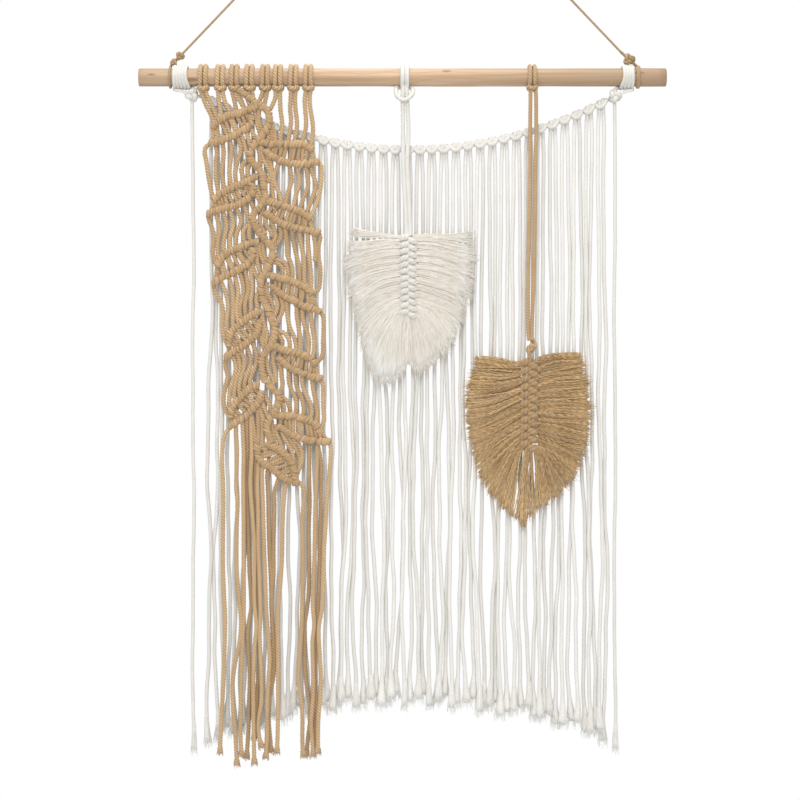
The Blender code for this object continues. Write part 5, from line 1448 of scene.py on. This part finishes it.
def fan(name, side, to, t, reach):
    """Return the yarns that end at the outline shares to, as x and drop at the shares t.

    The shares t are the same for all yarns, or a row for each. A yarn is a cubic curve from
    its root on the spine, which the gather draws to the middle of its lump, to its goal, the
    given share, reach, of the way to the outline. It leaves its root outwards and, by the
    rise, up on the right or down on the left, and it turns to its goal where out and fall
    say. The roots of the lowest yarns draw together at the spine's foot.
    """
    style = BRUSHED[name]
    spine, *outlines = FEATHERS[name]
    top, bottom = np.array(spine)
    half = int(side > 0)
    down = np.interp(to, style["at_outline"], style["at_spine"][half])[:, None]
    rows = SPINE_ROWS[name]
    lump = (np.clip(np.floor(down * rows), 0, rows - 1) + 0.5) / rows
    down = down + style["gather"] * np.clip(12.0 * down, 0.0, 1.0) * (lump - down)
    foot = np.clip((to - 0.8) / 0.2, 0.0, 1.0)[:, None]
    roots = top + down * (bottom - top) + (1.0 - foot) * (side * 5.0, 0.0) - foot * (0.0, 3.0)
    edge = along(outlines[half], np.linspace(0.0, 1.0, EDGE_POINTS + 1))
    places = EDGE_POINTS * to
    goals = np.column_stack([np.interp(places, np.arange(EDGE_POINTS + 1), c) for c in edge.T])
    away = (goals - roots) * reach
    rise = style["rise"] * np.clip(1.0 - to / 0.6, 0.0, 1.0)
    lead = np.minimum(0.3 * np.abs(away[:, :1]) + 0.5, 12.0)
    first = roots + lead * np.column_stack([np.full(len(to), side), -side * rise])
    fall = np.interp(to, (0.0, 0.45, 0.7), style["fall"])
    second = roots + away * np.column_stack([np.full(len(to), style["out"]), fall])
    t = np.atleast_2d(t)[..., None]
    points = (1 - t) ** 3 * roots[:, None] + 3 * t * (1 - t) ** 2 * first[:, None]
    return points + 3 * t**2 * (1 - t) * second[:, None] + t**3 * (roots + away)[:, None]


def fleece(bundle, name, side, shares):
    """The inner fibres of one side of a feather, as a sheet that ripples from lock to lock.

    Its ripple is a sine with one wave a lock, times half a sine wave from the spine to the
    edge. The edge is uneven by chance.
    """
    style = BRUSHED[name]
    to = np.linspace(*shares, max(8, round(FLEECE_POINTS[0] * (shares[1] - shares[0]))))
    way = np.linspace(0.0, 1.0, FLEECE_POINTS[1])
    t = FLEECE_START + way * (0.80 + 0.09 * noise.random((len(to), 1)))
    wave = np.sin(TAU * style["locks"] * to)[:, None] * np.sin(math.pi * t)
    flat = fan(name, side, to, t, 0.95)
    gaps = np.linalg.norm(np.diff(flat, axis=1), axis=2)
    lengths = 8.0 + np.hstack([np.zeros((len(to), 1)), np.cumsum(gaps, axis=1)])
    depth = FEATHER_DEPTH + 0.7 + style["ripple"] * wave
    grid = np.concatenate([flat, depth[..., None]], axis=-1)
    if side < 0:
        grid, lengths = grid[:, ::-1], lengths[:, ::-1]
    bundle.sheet(grid, lengths, FLEECE_THICKNESS, np.full(len(to), style["fleece_tone"]))


def build_fibres(name, front):
    """A feather's inner fleece with the crimped yarns in front of it, or the yarns behind it.

    Yarns are drawn together in locks, a lock sways by one sine wave, and a crimped yarn turns
    round its curve like a rope's ply. Beside a slit, yarns are pushed away from it by half a
    sine wave along them, which dies away by the exponential of the outline share between.
    Those in front have opened tips.
    """
    style = BRUSHED[name]
    locks = style["locks"]
    bundle = Bundle()
    all_paths, all_tones = [], []
    t = np.linspace(0.0, 1.0, style["steps"] if front else BACK_STEPS)
    count = style["count"] if front else style["back"]
    middle = FEATHER_DEPTH - 0.8 if front else FEATHER_DEPTH + 1.9
    layout = zip((-1.0, 1.0), style["gaps"], style["slits"], style["fleece"])
    for side, gaps, slits, sheets in layout:
        for shares in sheets if front else ():
            fleece(bundle, name, side, shares)
        to = (np.arange(count) + noise.random(count)) / count
        for start, stop in gaps:
            to = to[(to < start) | (to > stop)]
        lock = np.minimum((to * locks).astype(int), locks - 1)
        chance = np.random.default_rng(locks + int(side)).random((locks, 4))[lock]
        own = noise.random((len(to), 5))
        to = to + style["clump"] * ((lock + 0.5) / locks - to)
        flat = fan(name, side, to, t, style["reach"] + 0.04 * chance[:, :1] + 0.08 * own[:, :1])
        heading = unit(np.gradient(flat, axis=1))
        normal = np.stack([-heading[..., 1], heading[..., 0]], axis=-1)
        length = t * np.linalg.norm(flat[:, -1] - flat[:, 0], axis=1)[:, None] * 1.08
        turn = length / (style["crimp_length"] * (0.85 + 0.3 * chance[:, 1:2]))
        turn = turn + chance[:, 2:3] + 0.3 * own[:, 1:2]
        size = style["crimp"] * np.minimum(length / 4.0, 1.0)
        drift = 1.4 * (own[:, 2:3] - 0.5) * np.sin(math.pi * t)
        drift = drift + style["sway"] * np.sin(TAU * (1.1 * t + chance[:, 3:])) * np.minimum(2.0 * t, 1.0)
        for slit, wide in slits:
            off = (to - slit)[:, None]
            push = side * wide * np.sign(off) * np.exp(-np.abs(off) / SLIT_REACH)
            drift = drift + push * np.sin(math.pi * t)
        flat = flat + normal * (size * np.cos(TAU * turn) + drift)[..., None]
        depth = style["deep"] * (own[:, 3:4] - 0.5) + 0.4 * (chance[:, :1] - 0.5)
        depth = depth + size * np.sin(TAU * turn)
        depth = middle + depth if front else middle - 0.4 * depth
        all_paths.append(np.concatenate([flat, depth[..., None]], axis=-1))
        shade = 0.5 + 0.4 * (chance[:, 1] - 0.5)
        # besides each yarn's own tone: painted light, the right side darker and the top lighter, as a light
        # from the upper left leaves them
        shade = shade + style["fade"] * (own[:, 4] - 0.5 - 0.12 * side + 0.3 * (0.5 - to))
        all_tones.append(np.clip(shade, 0.0, 1.0))
    paths = np.vstack(all_paths)
    radius = style["radius"] if front else BACK_RADIUS
    bundle.sweep(paths, radius * (1.0 - style["taper"] * t**2), 3, tones=np.concatenate(all_tones))
    if front:
        tips, headings = paths[:, -1], paths[:, -1] - paths[:, -3]
        frayed(bundle, tips, headings, OPENED_TIP, 1, length=4.0, beyond=6.0, thickness=0.3)
    return bundle


FEATHER_COTTONS = {
    # materials of the fibres and the plait, the slot, and the plait's lay and relief
    "white_feather": ("cream", "pale_plait", "cream_brushed_yarn", WHITE_LAY, 0.7),
    "tan_feather": ("golden", "golden_plait", "golden_brushed_yarn", TAN_LAY, 1.0),
}


def build_feathers(materials):
    """Both feathers: fibres in front and the spine of each, and then the fibres behind."""
    for name, (fibres, plait, slot, lay, relief) in FEATHER_COTTONS.items():
        build_fibres(name, True).dress(name + "_fibres", materials[fibres], slot, name)
        spine = Bundle()
        build_spine(spine, name, lay, relief)
        spine.dress(name + "_spine", materials[plait], slot, name)
    for name, (fibres, _, slot, _, _) in FEATHER_COTTONS.items():
        build_fibres(name, False).dress(name + "_back_fibres", materials[fibres], slot, name)


def build_feather_cords(materials):
    """The cords that the feathers hang from: a loose head, and a tight one with a knot."""
    bundle = Bundle()
    reach = ROD_RADIUS + WHITE_RADIUS + 0.1
    angles = np.radians(LOOSE_HEAD_ANGLES)
    loop = np.column_stack([np.full(len(angles), 2.5), -reach * np.sin(angles), -reach * np.cos(angles)])
    legs = []
    for side, route in zip((-1.0, 1.0), WHITE_LEGS):
        turn = loop * (side, 1.0, 1.0) + (WHITE_HEAD_X, 0.0, 0.0)
        depths = np.concatenate([np.full(len(route) - 1, FEATHER_DEPTH), [WHITE_LEG_TOP_DEPTH]])
        leg = level(route, depths)
        legs.append(np.vstack([leg, turn]))
    slack = np.array(WHITE_SLACK) + (WHITE_HEAD_X, 0.0, 0.0)
    path = smooth(np.vstack([legs[0], slack, legs[1][::-1]]), CARRIER_STEP)
    radii = np.interp(path[:, 1], *WHITE_LEG_RADII)
    bundle.sweep(path, radii, PLY_SIDES, WHITE_LAY, SOFT_GROOVE, tones=0.0)
    white = materials["white"]
    bundle.dress("white_feather_hanging_cord", white, "white_cotton_cord", "white_feather_cord")

    bundle = Bundle()
    left_leg, right_leg = (
        level(route, np.linspace(TAN_LEG_TOP_DEPTH, FEATHER_DEPTH, len(route))) for route in TAN_LEGS
    )
    path = head_on_rod(TAN_HEAD_X, TAN_HEAD_ROOM, left_leg, right_leg)
    bundle.rope(path, TAN_LEG_RADIUS, TAN_LAY, TAN_CORD_STEP)
    bundle.rope(TAN_KNOT, TAN_KNOT_RADIUS, TAN_LAY, TAN_CORD_STEP)
    bundle.dress("tan_feather_hanging_cord", materials["tan"], "tan_cotton_cord", "tan_feather_cord")


# ---------------------------------------------------------------- stage


FLOOR_RADIUS = 3.0             # in metres, as all of the stage
FLOOR_DROP = 1.9
FLOOR_GREY = 0.86
WORLD_COLOUR = (0.97, 0.985, 1.0, 1.0)
WORLD_STRENGTH = 0.78
LIGHTS = (
    # name, place, what it is aimed at, size, watts, colour
    ("key", (-0.35, -2.4, 0.85), (0.0, 0.0, -0.55), 1.1, 31.0, (1.0, 0.98, 0.95)),
    ("fill", (0.4, -2.6, -0.9), (0.0, 0.0, -0.7), 1.4, 13.0, (0.96, 0.98, 1.0)),
    ("top", (0.0, -0.25, 1.3), (0.0, 0.0, -0.29), 1.3, 24.0, (1.0, 1.0, 1.0)),
)


def build_stage():
    """A pale round floor well below the hanging, an even white world and soft area lights."""
    middle = (0.0, 0.0, -FLOOR_DROP)
    bpy.ops.mesh.primitive_circle_add(vertices=96, radius=FLOOR_RADIUS, fill_type="NGON", location=middle)
    floor = bpy.context.object
    floor.name = "studio_floor"
    paint = bpy.data.materials.new("studio_floor")
    paint.use_nodes = True
    shader = paint.node_tree.nodes["Principled BSDF"]
    shader.inputs["Base Color"].default_value = (FLOOR_GREY, FLOOR_GREY, FLOOR_GREY, 1.0)
    shader.inputs["Roughness"].default_value = 0.9
    floor.data.materials.append(paint)

    world = bpy.data.worlds.new("white_studio")
    bpy.context.scene.world = world
    world.use_nodes = True
    nodes, links = world.node_tree.nodes, world.node_tree.links
    seen = nodes["Background"]
    seen.inputs[0].default_value = (1.0, 1.0, 1.0, 1.0)
    seen.inputs[1].default_value = 1.0
    light = nodes.new("ShaderNodeBackground")
    light.inputs[0].default_value = WORLD_COLOUR
    light.inputs[1].default_value = WORLD_STRENGTH
    ray = nodes.new("ShaderNodeLightPath")
    mix = nodes.new("ShaderNodeMixShader")
    links.new(ray.outputs["Is Camera Ray"], mix.inputs[0])
    links.new(light.outputs[0], mix.inputs[1])
    links.new(seen.outputs[0], mix.inputs[2])
    links.new(mix.outputs[0], nodes["World Output"].inputs[0])

    for name, place, aim, size, power, colour in LIGHTS:
        lamp = bpy.data.lights.new(name, "AREA")
        lamp.shape = "DISK"
        lamp.size = size
        lamp.energy = power
        lamp.color = colour
        holder = bpy.data.objects.new(name, lamp)
        bpy.context.scene.collection.objects.link(holder)
        holder.location = place
        direction = np.array(aim) - np.array(place)
        holder.rotation_euler = (
            math.acos(-direction[2] / np.linalg.norm(direction)),
            0.0,
            math.atan2(direction[1], direction[0]) - 0.5 * math.pi,
        )


def build_camera():
    """A level camera square to the hanging, at the distance that its lens needs."""
    camera = bpy.data.cameras.new("camera")
    camera.lens = LENS
    camera.sensor_width = SENSOR
    holder = bpy.data.objects.new("camera", camera)
    bpy.context.scene.collection.objects.link(holder)
    distance = PICTURE_WIDTH * LENS / SENSOR
    holder.location = (AIM_X * MM, -distance * MM, -(ROD_DROP + AIM_DROP) * MM)
    holder.rotation_euler = (0.5 * math.pi, 0.0, 0.0)
    bpy.context.scene.camera = holder


def main():
    """Set the stage, make the materials, and build the pieces in the order of their draws."""
    bpy.context.scene.view_settings.view_transform = "Standard"
    build_camera()
    build_stage()
    materials = {key: rope_material(*cotton) for key, cotton in ROPE_COTTONS.items()}
    materials.update({key: fibre_material(*cotton) for key, cotton in BRUSHED_COTTONS.items()})
    build_rod(pine_material())
    build_hanger(materials["twine"])
    build_curtain(materials["white"], materials["brushed"])
    build_panel(materials["tan"], materials["hitched"], materials["opened"])
    build_feather_cords(materials)
    build_feathers(materials)


main()
